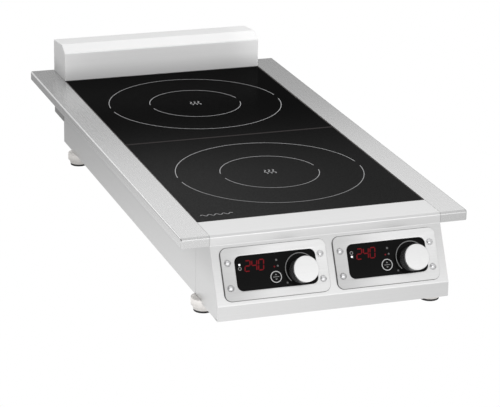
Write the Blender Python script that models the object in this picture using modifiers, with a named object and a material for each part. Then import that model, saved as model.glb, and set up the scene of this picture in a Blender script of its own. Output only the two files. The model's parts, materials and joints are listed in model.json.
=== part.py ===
"""Two-zone induction cooktop: a long stainless table-top unit with one cooking zone behind the other.

Everything is modelled in metres in deck coordinates: x to the right, y to the back, z up, with the
origin on the deck's top face at the middle of the glass's front edge. One empty carries the deck
coordinates, so that the finished object stands on z = 0 and is centred on x and y. A second empty
carries the sloped control panel: x to the right, y up the slope, z out of the panel.
"""

import math

import bmesh
import bpy
from mathutils import Matrix, Vector

MM = 0.001

# Driving dimensions
OVERALL_WIDTH = 400 * MM
CORE_WIDTH = 322 * MM
GLASS_LENGTH = 689 * MM
FRONT_STRIP = 55 * MM
RIM_HEIGHT = 14 * MM
SLOPE_RUN = 36 * MM
SLOPE_DROP = 71 * MM
APRON_HEIGHT = 21 * MM
BODY_HEIGHT = 103 * MM
FOOT_HEIGHT = 20 * MM
SIDE_SEAM = 5 * MM
BODY_BACK = 700 * MM
OVERALL_BACK = 758 * MM
WING_BACK = {"left": 758 * MM, "right": 729 * MM}
WING_FRONT_BEND = 6 * MM
WING_EDGE_BEND = 2.2 * MM
CHEEK_STEP = {"left": -21 * MM, "right": -70 * MM}
SIDE_TOP = -5 * MM
UPSTAND_HEIGHT = 45 * MM
UPSTAND_RIDGE = (709 * MM, 54.7 * MM)
UPSTAND_TOP_BACK = 50.3 * MM
UPSTAND_BENDS = [3 * MM, 3 * MM]
DUCT_DROP = 70 * MM
DUCT_WINDOW = ((-135 * MM, -64 * MM), (135 * MM, -24 * MM))
OUTLET_SLOT = (60 * MM, 5 * MM)
OUTLET_BANKS = (-100 * MM, 0, 100 * MM)
OUTLET_PITCH = 11 * MM
OUTLET_ROWS = 4
INLET_SLOT = (56 * MM, 4.5 * MM)
INLET_PITCH = 9 * MM
INLET_ROWS = 7

SHEET = 1.5 * MM
GAP = 0.3 * MM
GLASS_THICKNESS = 4 * MM
SEAL_WIDTH = 1.2 * MM

# Control modules, in the panel's own coordinates
MODULE_X = 77.5 * MM
MODULE_DOWN = 39.5 * MM
BEZEL = (145 * MM, 69.5 * MM, 2 * MM)
BEZEL_CORNER = 9.5 * MM
WINDOW = (111 * MM, 46 * MM)
WINDOW_CORNER = 8.5 * MM
WINDOW_X = 1.2 * MM
SCREW_SPACING = (127 * MM, 33 * MM)
SCREW_OFFSET_Y = -1.5 * MM
SCREW_HEAD = (3.2 * MM, 2 * MM)
SCREW_SHANK = (1.7 * MM, 6 * MM)
KNOB_X = 34.7 * MM
KNOB_DOWN = 4.6 * MM
KNOB_RADIUS = 17.2 * MM
KNOB_TOP = 24 * MM
KNOB_CLEARANCE = 0.6 * MM
COLLAR_RADIUS = 16.4 * MM
COLLAR_TOP = 20.6 * MM
COLLAR_TAPER = 0.4 * MM
CAP_SKIN = 1.6 * MM
CAP_WALL = 4.6 * MM
SHAFT_RADIUS = 3 * MM
SHAFT_HOLE = 4 * MM
SHAFT_BORE_DEPTH = 9 * MM
SHAFT_FOOT = -9 * MM
KEY_X = -0.4 * MM
KEY_DOWN = 9.2 * MM
KEY_RADIUS = 7.9 * MM
KEY_BACK = -1.2 * MM
KEY_STEM = (2.5 * MM, -5.4 * MM)
OVERLAY_BACK = -0.5 * MM

# Circuit board behind each window: outline and faces, then what stands on it
SMALL_BOARD = ((-52 * MM, -20 * MM), (54 * MM, 20 * MM))
SMALL_BOARD_BACK = -13.6 * MM
DISPLAY_OUTLINE = ((-44 * MM, -2 * MM), (-12 * MM, 17 * MM))
DISPLAY_FACE = -1.4 * MM
KEY_SWITCH = (3 * MM, 3 * MM)
KEY_SWITCH_FACE = -6.4 * MM
ENCODER = (7 * MM, 6.5 * MM)
ENCODER_FACES = (-15.6 * MM, -9.4 * MM)

# Feet: x and y of each one's axis
FOOT_X = 152.5 * MM
FEET = {
    "front_left": (-FOOT_X, -3 * MM),
    "front_right": (FOOT_X, -49 * MM),
    "rear_left": (-FOOT_X, 640 * MM),
    "rear_right": (FOOT_X, 640 * MM),
}
FOOT_COLLAR_RADIUS = 16.8 * MM
FOOT_COLLAR_HEIGHT = 11 * MM
FOOT_NECK_RADIUS = 14.6 * MM
FOOT_BASE_RADIUS = 13.5 * MM
PAD_HEIGHT = 3 * MM
STUD_RADIUS = 4 * MM
STUD_LENGTH = 12 * MM

# Cooking zones
ZONES = {"front": 172 * MM, "rear": 517 * MM}
COIL_INNER = 38 * MM
COIL_OUTER = 124 * MM
COIL_TURNS = 9
COIL_STEPS = 18
COIL_WIRE = 3.6 * MM
COIL_HEIGHT = -14 * MM
CARRIER_RADIUS = COIL_OUTER + 2 * MM
CARRIER_THICKNESS = 2 * MM
CARRIER_LEG_RADIUS = 4 * MM
CARRIER_LEG_PLACE = (113 * MM, 42 * MM)
SENSOR_BOSS_RADIUS = 12 * MM
FERRITE_BARS = 4
FERRITE_BAR = (105 * MM, 7 * MM, 8 * MM)
TRAY_OPENING = COIL_OUTER + 8 * MM
TRAY_FRONT = 6 * MM

# Power electronics, around each zone's centre: outlines, and heights over the board's underside
BOARD_THICKNESS = 1.6 * MM
BOARD_STANDOFF = 4 * MM
POWER_BOARD = ((-100 * MM, -70 * MM), (100 * MM, 95 * MM))
CAPACITORS = [((-92 * MM, -60 * MM), (-62 * MM, -10 * MM)), ((-92 * MM, 0), (-62 * MM, 45 * MM))]
CAPACITOR_HEIGHT = 34 * MM
CHOKE = ((-50 * MM, -60 * MM), (-18 * MM, -28 * MM))
CHOKE_HEIGHT = 26 * MM
CAN_RADIUS = 11 * MM
CAN_HEIGHT = 36 * MM
CANS = [(-36 * MM, 0), (-36 * MM, 28 * MM), (-36 * MM, 56 * MM)]
HEAT_SINK = (78 * MM, 124 * MM, 40 * MM)
HEAT_SINK_SHIFT = 10 * MM
HEAT_SINK_BASE = 6 * MM
FINS = 10
FIN_THICKNESS = 2 * MM
OVERLAP = 1 * MM

HALF_CORE = CORE_WIDTH / 2
HALF_WIDTH = OVERALL_WIDTH / 2
SLOPE_LENGTH = math.hypot(SLOPE_RUN, SLOPE_DROP)
SLOPE_TILT = math.atan2(SLOPE_DROP, SLOPE_RUN)
BODY_BOTTOM = -BODY_HEIGHT
APRON_BOTTOM = -(RIM_HEIGHT + SLOPE_DROP + APRON_HEIGHT)
FLOOR_TOP = BODY_BOTTOM + SHEET
FRONT_FACE = -(FRONT_STRIP + SLOPE_RUN)
DECK_HEIGHT = FOOT_HEIGHT - BODY_BOTTOM

# Fans and mains entry
FAN_X = 40 * MM
FAN_SHIFT = -88 * MM
FAN_SIZE = 60 * MM
FAN_DEPTH = 25 * MM
FAN_BORE = 27.6 * MM
FAN_ARM = (59 * MM, 4 * MM, 3 * MM)
FAN_MOTOR_RADIUS = 10 * MM
FAN_MOTOR_TOP = 4 * MM
FAN_HUB = 13.5 * MM
FAN_HUB_FACES = (-8 * MM, 11 * MM)
FAN_HUB_WALL = 2 * MM
FAN_HUB_CROWN = 5 * MM
FAN_BLADES = 7
BLADE_CHORD = 16 * MM
BLADE_THICKNESS = 1.4 * MM
BLADE_ROOT = FAN_HUB - 0.9 * MM
BLADE_TILT = math.radians(38)
ROTOR_TIP = 26.6 * MM
FAN_HEIGHT = FLOOR_TOP + GAP + FAN_SIZE / 2
TERMINAL = ((-142 * MM, 652 * MM), (-82 * MM, 680 * MM))
TERMINAL_HEIGHT = 24 * MM
CLAMP_RADIUS = 3 * MM
CLAMP_DEPTH = 6 * MM
CLAMPS = [((-136 + 12 * i) * MM, 666 * MM) for i in range(5)]
GLAND_PLACE = (-115 * MM, -86.5 * MM)
GLAND_RADIUS = 10 * MM
GLAND_BORE = 5.5 * MM
GLAND_INSIDE = 10 * MM
GLAND_FLANGE = (13 * MM, 14 * MM)
GLAND_SHOULDER = (11.2 * MM, 15 * MM)
GLAND_NOSE = (9 * MM, 22 * MM)

FASCIA_POINTS = [
    (-GAP, 0),
    (-FRONT_STRIP, 0),
    (-FRONT_STRIP, -RIM_HEIGHT),
    (FRONT_FACE, -RIM_HEIGHT - SLOPE_DROP),
    (FRONT_FACE, APRON_BOTTOM),
    (FRONT_FACE + RIM_HEIGHT, APRON_BOTTOM),
]
FASCIA_BENDS = [6 * MM, 1.5 * MM, 4 * MM, 2.5 * MM]


def panel_point(down, out):
    """Deck y and z of a point this far down the control slope and this far out of it."""
    slope_y, slope_z = SLOPE_RUN / SLOPE_LENGTH, SLOPE_DROP / SLOPE_LENGTH
    y = -FRONT_STRIP - slope_y * down - slope_z * out
    z = -RIM_HEIGHT - slope_z * down + slope_y * out
    return y, z


KNOB_REACH = panel_point(MODULE_DOWN + KNOB_DOWN + KNOB_RADIUS, KNOB_TOP)[0]
MIDDLE_Y = (OVERALL_BACK + KNOB_REACH) / 2


# ---------------------------------------------------------------- scene and materials

def clear_scene():
    for item in list(bpy.data.objects):
        bpy.data.objects.remove(item)


def new_collection(name):
    collection = bpy.data.collections.new(name)
    bpy.context.scene.collection.children.link(collection)
    return collection


def new_material(name, color, roughness, metallic):
    material = bpy.data.materials.new(name)
    material.use_nodes = True
    shader = material.node_tree.nodes["Principled BSDF"]
    shader.inputs["Base Color"].default_value = (*color, 1.0)
    shader.inputs["Roughness"].default_value = roughness
    shader.inputs["Metallic"].default_value = metallic
    material.diffuse_color = (*color, 1.0)
    return material


def make_materials():
    return {
        "brushed_steel": new_material("brushed_steel", (0.72, 0.72, 0.73), 0.32, 1.0),
        "bezel_steel": new_material("bezel_steel", (0.8, 0.8, 0.8), 0.28, 1.0),
        "satin_silver": new_material("satin_silver", (0.86, 0.86, 0.87), 0.3, 1.0),
        "black_glass": new_material("black_glass", (0.01, 0.01, 0.012), 0.06, 0.0),
        "black_gloss": new_material("black_gloss", (0.015, 0.015, 0.015), 0.15, 0.0),
        "black_plastic": new_material("black_plastic", (0.03, 0.03, 0.03), 0.4, 0.0),
        "silicone": new_material("silicone", (0.05, 0.045, 0.04), 0.7, 0.0),
        "rubber": new_material("rubber", (0.03, 0.03, 0.03), 0.8, 0.0),
        "chrome": new_material("chrome", (0.78, 0.77, 0.75), 0.15, 1.0),
        "screw_steel": new_material("screw_steel", (0.7, 0.7, 0.7), 0.25, 1.0),
        "zinc_steel": new_material("zinc_steel", (0.55, 0.56, 0.58), 0.45, 1.0),
        "copper": new_material("copper", (0.72, 0.36, 0.2), 0.4, 1.0),
        "carrier": new_material("carrier", (0.35, 0.35, 0.36), 0.6, 0.0),
        "aluminium": new_material("aluminium", (0.7, 0.71, 0.72), 0.4, 1.0),
        "board_green": new_material("board_green", (0.05, 0.2, 0.08), 0.5, 0.0),
    }


# ---------------------------------------------------------------- building blocks

class Builder:
    """Adds named objects to the model, each with a material and a parent empty."""

    def __init__(self):
        self.parts = new_collection("induction_cooktop")
        self.cutters = new_collection("cutters")
        self.materials = make_materials()
        self.deck = self.empty("deck_frame", None, (0, -MIDDLE_Y, DECK_HEIGHT), (0, 0, 0))
        panel_place = (0, -FRONT_STRIP, -RIM_HEIGHT)
        self.panel = self.empty("panel_frame", self.deck, panel_place, (SLOPE_TILT, 0, 0))

    def empty(self, name, parent, location, rotation):
        item = bpy.data.objects.new(name, None)
        self.parts.objects.link(item)
        item.parent = parent
        item.location = location
        item.rotation_euler = rotation
        return item

    def add(self, name, data, material, parent=None, location=(0, 0, 0), rotation=(0, 0, 0)):
        item = bpy.data.objects.new(name, data)
        self.parts.objects.link(item)
        item.parent = parent or self.deck
        item.location = location
        item.rotation_euler = rotation
        data.materials.append(self.materials[material])
        return item

    def cutter(self, name, data, like, location=None, rotation=None):
        """A hidden tool solid that shares the parent of the piece it cuts or joins."""
        item = bpy.data.objects.new(name, data)
        self.cutters.objects.link(item)
        item.parent = like.parent
        item.location = like.location if location is None else location
        item.rotation_euler = like.rotation_euler if rotation is None else rotation
        item.hide_render = True
        item.display_type = "WIRE"
        return item

    def combine(self, target, operation, data, location=None, rotation=None):
        tool = self.cutter(f"{target.name}_{operation.lower()}_{len(target.modifiers)}",
                           data, target, location, rotation)
        modifier = target.modifiers.new(operation.title(), "BOOLEAN")
        modifier.operation = operation
        modifier.object = tool


def mesh_from(bm, name):
    mesh = bpy.data.meshes.new(name)
    bm.to_mesh(mesh)
    bm.free()
    return mesh


def box_mesh(name, *boxes):
    """One mesh of boxes, each given by its low and high corners; boxes may not touch."""
    bm = bmesh.new()
    for low, high in boxes:
        size = Vector(high) - Vector(low)
        middle = (Vector(high) + Vector(low)) / 2
        bmesh.ops.create_cube(bm, size=1, matrix=Matrix.LocRotScale(middle, None, size))
    return mesh_from(bm, name)


def rod_mesh(name, radius, bottom, top, places=((0, 0),), steps=24, top_radius=None):
    """One mesh of upright cylinders or cones between two heights, one at each place."""
    bm = bmesh.new()
    for x, y in places:
        bmesh.ops.create_cone(
            bm, cap_ends=True, segments=steps, radius1=radius,
            radius2=radius if top_radius is None else top_radius, depth=top - bottom,
            matrix=Matrix.Translation((x, y, (bottom + top) / 2)))
    return mesh_from(bm, name)


def turned(name, profile, builder, material, steps=32, **place):
    """A turned solid: radius and height pairs from the top of the outside to the bottom."""
    mesh = bpy.data.meshes.new(name)
    points = [(radius, 0, height) for radius, height in profile]
    mesh.from_pydata(points, [(i, i + 1) for i in range(len(points) - 1)], [])
    item = builder.add(name, mesh, material, **place)
    screw = item.modifiers.new("Turn", "SCREW")
    screw.steps = steps
    screw.render_steps = steps
    screw.use_merge_vertices = True
    screw.merge_threshold = 0.00001
    screw.use_smooth_shade = True
    return item


def arc(centre, radius, start, end, steps):
    """Points on an arc, with the angles in degrees."""
    angles = [math.radians(start + (end - start) * i / steps) for i in range(steps + 1)]
    return [(centre[0] + radius * math.cos(a), centre[1] + radius * math.sin(a)) for a in angles]


def rounded_rectangle(width, height, corner, centre=(0, 0), steps=5):
    points = []
    for index, (sx, sy) in enumerate(((1, 1), (-1, 1), (-1, -1), (1, -1))):
        middle = (centre[0] + sx * (width / 2 - corner), centre[1] + sy * (height / 2 - corner))
        points += arc(middle, corner, 90 * index, 90 * index + 90, steps)
    return points


def rectangle(low, high):
    return [(low[0], low[1]), (high[0], low[1]), (high[0], high[1]), (low[0], high[1])]


def flat_curve(name, outlines, thickness):
    """A plate of this thickness centred on z = 0: the first outline with the others as holes."""
    curve = bpy.data.curves.new(name, "CURVE")
    curve.dimensions = "2D"
    curve.fill_mode = "BOTH"
    curve.extrude = thickness / 2
    for outline in outlines:
        spline = curve.splines.new("POLY")
        spline.points.add(len(outline) - 1)
        for point, (x, y) in zip(spline.points, outline):
            point.co = (x, y, 0, 1)
        spline.use_cyclic_u = True
    return curve


def turn_corners(points, radii, steps=3):
    """An open path whose inner corners become arcs; radii has one value for each inner point."""
    path = [Vector(points[0])]
    for before, corner, after, radius in zip(points, points[1:], points[2:], radii):
        corner = Vector(corner)
        back = (Vector(before) - corner).normalized()
        ahead = (Vector(after) - corner).normalized()
        half = back.angle(ahead) / 2
        reach = radius / math.tan(half)
        centre = corner + (back + ahead).normalized() * (radius / math.sin(half))
        first = (corner + back * reach - centre).normalized()
        last = (corner + ahead * reach - centre).normalized()
        path += [centre + first.slerp(last, i / steps) * radius for i in range(steps + 1)]
    path.append(Vector(points[-1]))
    return path


def offset_path(points, distance):
    """A parallel path with mitred corners, moved to the left of the direction of travel."""
    points = [Vector(p) for p in points]
    normals = []
    for a, b in zip(points, points[1:]):
        along = (b - a).normalized()
        normals.append(Vector((-along.y, along.x)))
    moved = [points[0] + normals[0] * distance]
    for point, n1, n2 in zip(points[1:-1], normals, normals[1:]):
        moved.append(point + (n1 + n2) * (distance / (1 + n1.dot(n2))))
    moved.append(points[-1] + normals[-1] * distance)
    return moved


def folded_sheet(name, path, left, right):
    """An open sheet that follows a y-z path from x = left to x = right, before Solidify."""
    bm = bmesh.new()
    rows = [[bm.verts.new((x, p[0], p[1])) for p in path] for x in (left, right)]
    for i in range(len(path) - 1):
        bm.faces.new((rows[0][i], rows[0][i + 1], rows[1][i + 1], rows[1][i]))
    return mesh_from(bm, name)


def thicken(item, thickness, offset):
    modifier = item.modifiers.new("Sheet", "SOLIDIFY")
    modifier.thickness = thickness
    modifier.offset = offset
    modifier.use_even_offset = True


def plate_x(builder, name, outlines, low_x, high_x, material):
    """An upright plate across x; the outlines are in y and z."""
    curve = flat_curve(name, outlines, high_x - low_x)
    place = ((low_x + high_x) / 2, 0, 0)
    return builder.add(name, curve, material, location=place,
                       rotation=(math.pi / 2, 0, math.pi / 2))


def plate_y(builder, name, outlines, low_y, high_y, material):
    """An upright plate across y; the outlines are in x and z."""
    curve = flat_curve(name, outlines, high_y - low_y)
    place = (0, (low_y + high_y) / 2, 0)
    return builder.add(name, curve, material, location=place, rotation=(math.pi / 2, 0, 0))


def plate_z(builder, name, outlines, low_z, high_z, material, parent=None, centre=(0, 0)):
    curve = flat_curve(name, outlines, high_z - low_z)
    place = (centre[0], centre[1], (low_z + high_z) / 2)
    return builder.add(name, curve, material, parent=parent, location=place)


# ---------------------------------------------------------------- sheet-metal casing

def module_places():
    return {"left": (-MODULE_X, -MODULE_DOWN), "right": (MODULE_X, -MODULE_DOWN)}


def screw_places(centre):
    half_x, half_y = SCREW_SPACING[0] / 2, SCREW_SPACING[1] / 2
    return [(centre[0] + sx * half_x, centre[1] + SCREW_OFFSET_Y + sy * half_y)
            for sy in (1, -1) for sx in (-1, 1)]


def make_fascia(builder):
    path = turn_corners(FASCIA_POINTS, FASCIA_BENDS)
    fascia = builder.add("front_fascia", folded_sheet("front_fascia", path, -HALF_CORE, HALF_CORE),
                         "brushed_steel")
    thicken(fascia, SHEET, -1)
    bm = bmesh.new()
    for place in module_places().values():
        size = (WINDOW[0] + 5 * MM, WINDOW[1] + 4 * MM, 12 * MM)
        middle = (place[0] + WINDOW_X, place[1], 0)
        bmesh.ops.create_cube(bm, size=1, matrix=Matrix.LocRotScale(middle, None, size))
        hole = SCREW_SHANK[0] + GAP
        for x, y in screw_places(place):
            bmesh.ops.create_cone(bm, cap_ends=True, segments=8, radius1=hole, radius2=hole,
                                  depth=12 * MM, matrix=Matrix.Translation((x, y, 0)))
    builder.combine(fascia, "DIFFERENCE", mesh_from(bm, "fascia_cuts"),
                    builder.panel.location, builder.panel.rotation_euler)


def make_wings(builder):
    """The side ledges: hollow channels, open towards the body, with closed ends."""
    for name, side in (("left", -1), ("right", 1)):
        inner = HALF_CORE + GAP
        back = WING_BACK[name]
        shell = span_box("shell", side, (inner, -FRONT_STRIP, -RIM_HEIGHT), (HALF_WIDTH, back, 0))
        hollow = span_box("hollow", side, (inner - MM, -FRONT_STRIP + SHEET, -RIM_HEIGHT + SHEET),
                          (HALF_WIDTH - SHEET, back - SHEET, -SHEET))
        wing = builder.add(f"wing_{name}", round_edges(shell, side), "brushed_steel")
        builder.combine(wing, "DIFFERENCE", hollow)


def span_box(name, side, low, high):
    """A box given for the right-hand side, mirrored to the left when side is -1."""
    low_x, high_x = sorted((side * low[0], side * high[0]))
    return box_mesh(name, ((low_x, *low[1:]), (high_x, *high[1:])))


def round_edges(mesh, side):
    """Round the wing's front top edge, then every edge of its outer face."""
    bm = bmesh.new()
    bm.from_mesh(mesh)
    front_top = [edge for edge in bm.edges
                 if all(v.co.y < -FRONT_STRIP + MM and v.co.z > -MM for v in edge.verts)]
    bmesh.ops.bevel(bm, geom=front_top, offset=WING_FRONT_BEND, segments=4, profile=0.5,
                    affect="EDGES")
    outer = [edge for edge in bm.edges
             if all(side * v.co.x > HALF_WIDTH - MM for v in edge.verts)]
    bmesh.ops.bevel(bm, geom=outer, offset=WING_EDGE_BEND, segments=3, profile=0.5,
                    affect="EDGES", clamp_overlap=True)
    bm.to_mesh(mesh)
    bm.free()
    return mesh


def make_side_panels(builder):
    outline = rectangle((SIDE_SEAM + GAP, BODY_BOTTOM), (BODY_BACK - SHEET - 2 * GAP, SIDE_TOP))
    low, high = HALF_CORE - SHEET, HALF_CORE
    plate_x(builder, "side_panel_left", [outline], -high, -low, "brushed_steel")
    plate_x(builder, "side_panel_right", [outline], low, high, "brushed_steel")


def make_cheeks(builder):
    """Plates that close the control box's two ends; each lower edge steps up over its foot."""
    clear = SHEET + GAP
    bends = [r + (clear if i == 1 else -clear) for i, r in enumerate(FASCIA_BENDS)]
    inside = turn_corners(offset_path(FASCIA_POINTS, clear), bends)
    flange_end = FRONT_FACE + RIM_HEIGHT + GAP
    high = HALF_CORE - GAP
    low = high - SHEET
    for name, span in (("left", (-high, -low)), ("right", (low, high))):
        step = CHEEK_STEP[name]
        outline = [(SIDE_SEAM, SIDE_TOP), (-clear, SIDE_TOP), (-clear, -clear)] + inside[1:-1]
        outline += [(flange_end, APRON_BOTTOM + clear), (flange_end, APRON_BOTTOM),
                    (step, APRON_BOTTOM), (step, BODY_BOTTOM), (SIDE_SEAM, BODY_BOTTOM)]
        plate_x(builder, f"cheek_{name}", [outline], *span, "brushed_steel")


def make_bottom_plate(builder):
    half = HALF_CORE - SHEET - 2 * GAP
    low_y = FRONT_FACE + RIM_HEIGHT + GAP
    high_y = BODY_BACK - SHEET - 2 * GAP
    outlines = [rectangle((-half + GAP, low_y), (half - GAP, high_y))]
    length, slot = INLET_SLOT
    for centre_y in ZONES.values():
        for row in range(INLET_ROWS):
            y = centre_y - 150 * MM + INLET_PITCH * row
            outlines.append(rectangle((FAN_X - length / 2, y), (FAN_X + length / 2, y + slot)))
    for x, y in FEET.values():
        outlines.append(arc((x, y), STUD_RADIUS + GAP, 0, 330, 11))
    plate_z(builder, "bottom_plate", outlines, BODY_BOTTOM, FLOOR_TOP, "zinc_steel")


def make_rear_wall(builder):
    """The body's back: a wide window lets the cooling air into the duct."""
    half = HALF_CORE - GAP
    outlines = [rectangle((-half, BODY_BOTTOM), (half, SIDE_TOP)),
                rectangle(*DUCT_WINDOW),
                arc(GLAND_PLACE, GLAND_RADIUS + GAP, 0, 345, 23)]
    plate_y(builder, "body_rear_wall", outlines, BODY_BACK - SHEET, BODY_BACK, "zinc_steel")


def make_rear_hood(builder):
    """The upstand's folded front and top with its two side plates, open at the back and below."""
    ridge_y, ridge_z = UPSTAND_RIDGE
    back = OVERALL_BACK - SHEET - GAP
    profile = [(GLASS_LENGTH, GAP), (GLASS_LENGTH, UPSTAND_HEIGHT), (ridge_y, ridge_z),
               (back, UPSTAND_TOP_BACK)]
    path = turn_corners(profile, UPSTAND_BENDS)
    outline = [(p[0], p[1]) for p in path]
    duct_front = BODY_BACK + GAP
    outline = [(duct_front, -DUCT_DROP), (duct_front, GAP)] + outline
    outline.append((back, -DUCT_DROP))
    shell = builder.add("rear_hood", solid_across_x("rear_hood", outline, HALF_CORE),
                        "brushed_steel")
    hollow = [(BODY_BACK - MM, -DUCT_DROP - MM), (BODY_BACK - MM, -MM), (GLASS_LENGTH + SHEET, -MM),
              (GLASS_LENGTH + SHEET, UPSTAND_HEIGHT - 0.9 * MM), (ridge_y + 0.4 * MM, ridge_z - SHEET),
              (back + MM, UPSTAND_TOP_BACK - SHEET), (back + MM, -DUCT_DROP - MM)]
    builder.combine(shell, "DIFFERENCE",
                    solid_across_x("hood_hollow", hollow, HALF_CORE - SHEET))


def solid_across_x(name, outline, half):
    """A prism from x = -half to half whose outline is in y and z, clockwise seen from +x."""
    bm = bmesh.new()
    ring = [bm.verts.new((-half, y, z)) for y, z in outline]
    base = bm.faces.new(ring)
    moved = bmesh.ops.extrude_face_region(bm, geom=[base])["geom"]
    top = [v for v in moved if isinstance(v, bmesh.types.BMVert)]
    bmesh.ops.translate(bm, verts=top, vec=(2 * half, 0, 0))
    bmesh.ops.recalc_face_normals(bm, faces=bm.faces)
    return mesh_from(bm, name)


def make_rear_panel(builder):
    """The back of the upstand and its duct, with two banks of outlet slots."""
    half = HALF_CORE
    outlines = [rectangle((-half, -DUCT_DROP), (half, UPSTAND_TOP_BACK - GAP))]
    length, slot = OUTLET_SLOT
    for bank in OUTLET_BANKS:
        for row in range(OUTLET_ROWS):
            z = 4 * MM + OUTLET_PITCH * row
            outlines.append(rectangle((bank - length / 2, z), (bank + length / 2, z + slot)))
    plate_y(builder, "rear_panel", outlines, OVERALL_BACK - SHEET, OVERALL_BACK, "brushed_steel")


# ---------------------------------------------------------------- cooking surface

def make_glass(builder):
    """Two glass plates flush with the deck, and one dark seal round and between them."""
    half = HALF_CORE - SEAL_WIDTH - 2 * GAP
    ends = (SEAL_WIDTH + 2 * GAP, GLASS_LENGTH - SEAL_WIDTH - 2 * GAP)
    joint = GLASS_LENGTH / 2
    edges = {"glass_front": (ends[0], joint - SEAL_WIDTH / 2 - GAP),
             "glass_rear": (joint + SEAL_WIDTH / 2 + GAP, ends[1])}
    for name, (low, high) in edges.items():
        mesh = box_mesh(name, ((-half, low, -GLASS_THICKNESS), (half, high, 0)))
        glass = builder.add(name, mesh, "black_glass")
        bevel = glass.modifiers.new("Edge", "BEVEL")
        bevel.width = 0.4 * MM
        bevel.segments = 1
    rim = HALF_CORE - GAP
    outlines = [rectangle((-rim, GAP), (rim, GLASS_LENGTH - GAP))]
    for low, high in edges.values():
        outlines.append(rectangle((-half - GAP, low - GAP), (half + GAP, high + GAP)))
    plate_z(builder, "glass_seal", outlines, -GLASS_THICKNESS, -0.2 * MM, "silicone")


def make_support_tray(builder):
    """The inner sheet under the glass, with a round opening over each coil."""
    half = HALF_CORE - SHEET - 2 * GAP
    outlines = [rectangle((-half, TRAY_FRONT), (half, BODY_BACK - SHEET - 2 * GAP))]
    for centre_y in ZONES.values():
        outlines.append(arc((0, centre_y), TRAY_OPENING, 0, 350, 35))
    top = -GLASS_THICKNESS - GAP
    plate_z(builder, "support_tray", outlines, top - SHEET, top, "zinc_steel")


# ---------------------------------------------------------------- control modules

def make_bezel(builder, side, centre):
    window_centre = (WINDOW_X, 0)
    outlines = [rounded_rectangle(BEZEL[0], BEZEL[1], BEZEL_CORNER),
                rounded_rectangle(WINDOW[0], WINDOW[1], WINDOW_CORNER, window_centre)]
    for x, y in screw_places((0, 0)):
        outlines.append(arc((x, y), SCREW_SHANK[0] + GAP, 0, 315, 7))
    plate_z(builder, f"bezel_{side}", outlines, GAP, GAP + BEZEL[2], "bezel_steel",
            parent=builder.panel, centre=centre)


def make_screws(builder, side, centre):
    """Dome-headed screws: a shank through bezel and fascia under a round head."""
    head_bottom = 2 * GAP + BEZEL[2]
    radius, rise = SCREW_HEAD
    shank, depth = SCREW_SHANK
    profile = [(0, head_bottom + rise), (0.53 * radius, head_bottom + 0.8 * rise),
               (0.88 * radius, head_bottom + 0.45 * rise), (radius, head_bottom),
               (shank, head_bottom), (shank, -depth), (0, -depth)]
    for number, (x, y) in enumerate(screw_places(centre), 1):
        turned(f"bezel_screw_{side}_{number}", profile, builder, "screw_steel", steps=14,
               parent=builder.panel, location=(x, y, 0))


def make_overlay(builder, side, centre):
    """The black window plate in the bezel, pierced for the key and the knob's shaft."""
    middle = (centre[0] + WINDOW_X, centre[1])
    key = (KEY_X - WINDOW_X, -KEY_DOWN)
    knob = (KNOB_X - WINDOW_X, -KNOB_DOWN)
    outlines = [rounded_rectangle(WINDOW[0] - 2 * GAP, WINDOW[1] - 2 * GAP, WINDOW_CORNER - GAP),
                arc(key, KEY_RADIUS + GAP, 0, 345, 23),
                arc(knob, SHAFT_HOLE, 0, 330, 11)]
    plate_z(builder, f"overlay_{side}", outlines, OVERLAY_BACK, BEZEL[2], "black_gloss",
            parent=builder.panel, centre=middle)


def make_key(builder, side, centre):
    """The round key: a disc in its hole on a short stem."""
    top = BEZEL[2]
    edge = 0.4 * MM
    stem, stem_end = KEY_STEM
    profile = [(0, top), (KEY_RADIUS - edge, top), (KEY_RADIUS, top - edge),
               (KEY_RADIUS, KEY_BACK), (stem, KEY_BACK), (stem, stem_end), (0, stem_end)]
    place = (centre[0] + KEY_X, centre[1] - KEY_DOWN, 0)
    turned(f"key_{side}", profile, builder, "black_gloss", steps=24,
           parent=builder.panel, location=place)


def make_knob(builder, side, centre):
    """A black knob body, its silver cap and the encoder's shaft, all turning on one axis."""
    place = (centre[0] + KNOB_X, centre[1] - KNOB_DOWN, 0)
    base = BEZEL[2] + KNOB_CLEARANCE
    recess = KNOB_RADIUS - CAP_WALL
    boss = (recess - GAP, KNOB_TOP - CAP_SKIN - GAP)
    skirt = COLLAR_RADIUS + COLLAR_TAPER
    bore = (SHAFT_RADIUS + 0.5 * MM, base + SHAFT_BORE_DEPTH)
    body = [(0, boss[1]), boss, (boss[0], COLLAR_TOP - GAP), (COLLAR_RADIUS, COLLAR_TOP - GAP),
            (skirt, base + 1 * MM), (skirt, base), (bore[0], base), bore, (0, bore[1])]
    turned(f"knob_body_{side}", body, builder, "black_plastic", parent=builder.panel,
           location=place)
    rim = 1 * MM
    cap = [(0, KNOB_TOP), (KNOB_RADIUS - rim, KNOB_TOP),
           (KNOB_RADIUS - 0.3 * rim, KNOB_TOP - 0.3 * rim), (KNOB_RADIUS, KNOB_TOP - rim),
           (KNOB_RADIUS, COLLAR_TOP), (recess, COLLAR_TOP), (recess, KNOB_TOP - CAP_SKIN),
           (0, KNOB_TOP - CAP_SKIN)]
    turned(f"knob_cap_{side}", cap, builder, "satin_silver", parent=builder.panel, location=place)
    tip = bore[1] - 0.4 * MM
    shaft = [(0, tip), (SHAFT_RADIUS, tip), (SHAFT_RADIUS, SHAFT_FOOT), (0, SHAFT_FOOT)]
    turned(f"encoder_shaft_{side}", shaft, builder, "chrome", steps=16, parent=builder.panel,
           location=place)


def block_corners(outline, low, high):
    """The two corners of a box over a flat outline."""
    return (*outline[0], low), (*outline[1], high)


def around(centre, half):
    """The flat outline of these half sizes round a centre."""
    return (centre[0] - half[0], centre[1] - half[1]), (centre[0] + half[0], centre[1] + half[1])


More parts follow.
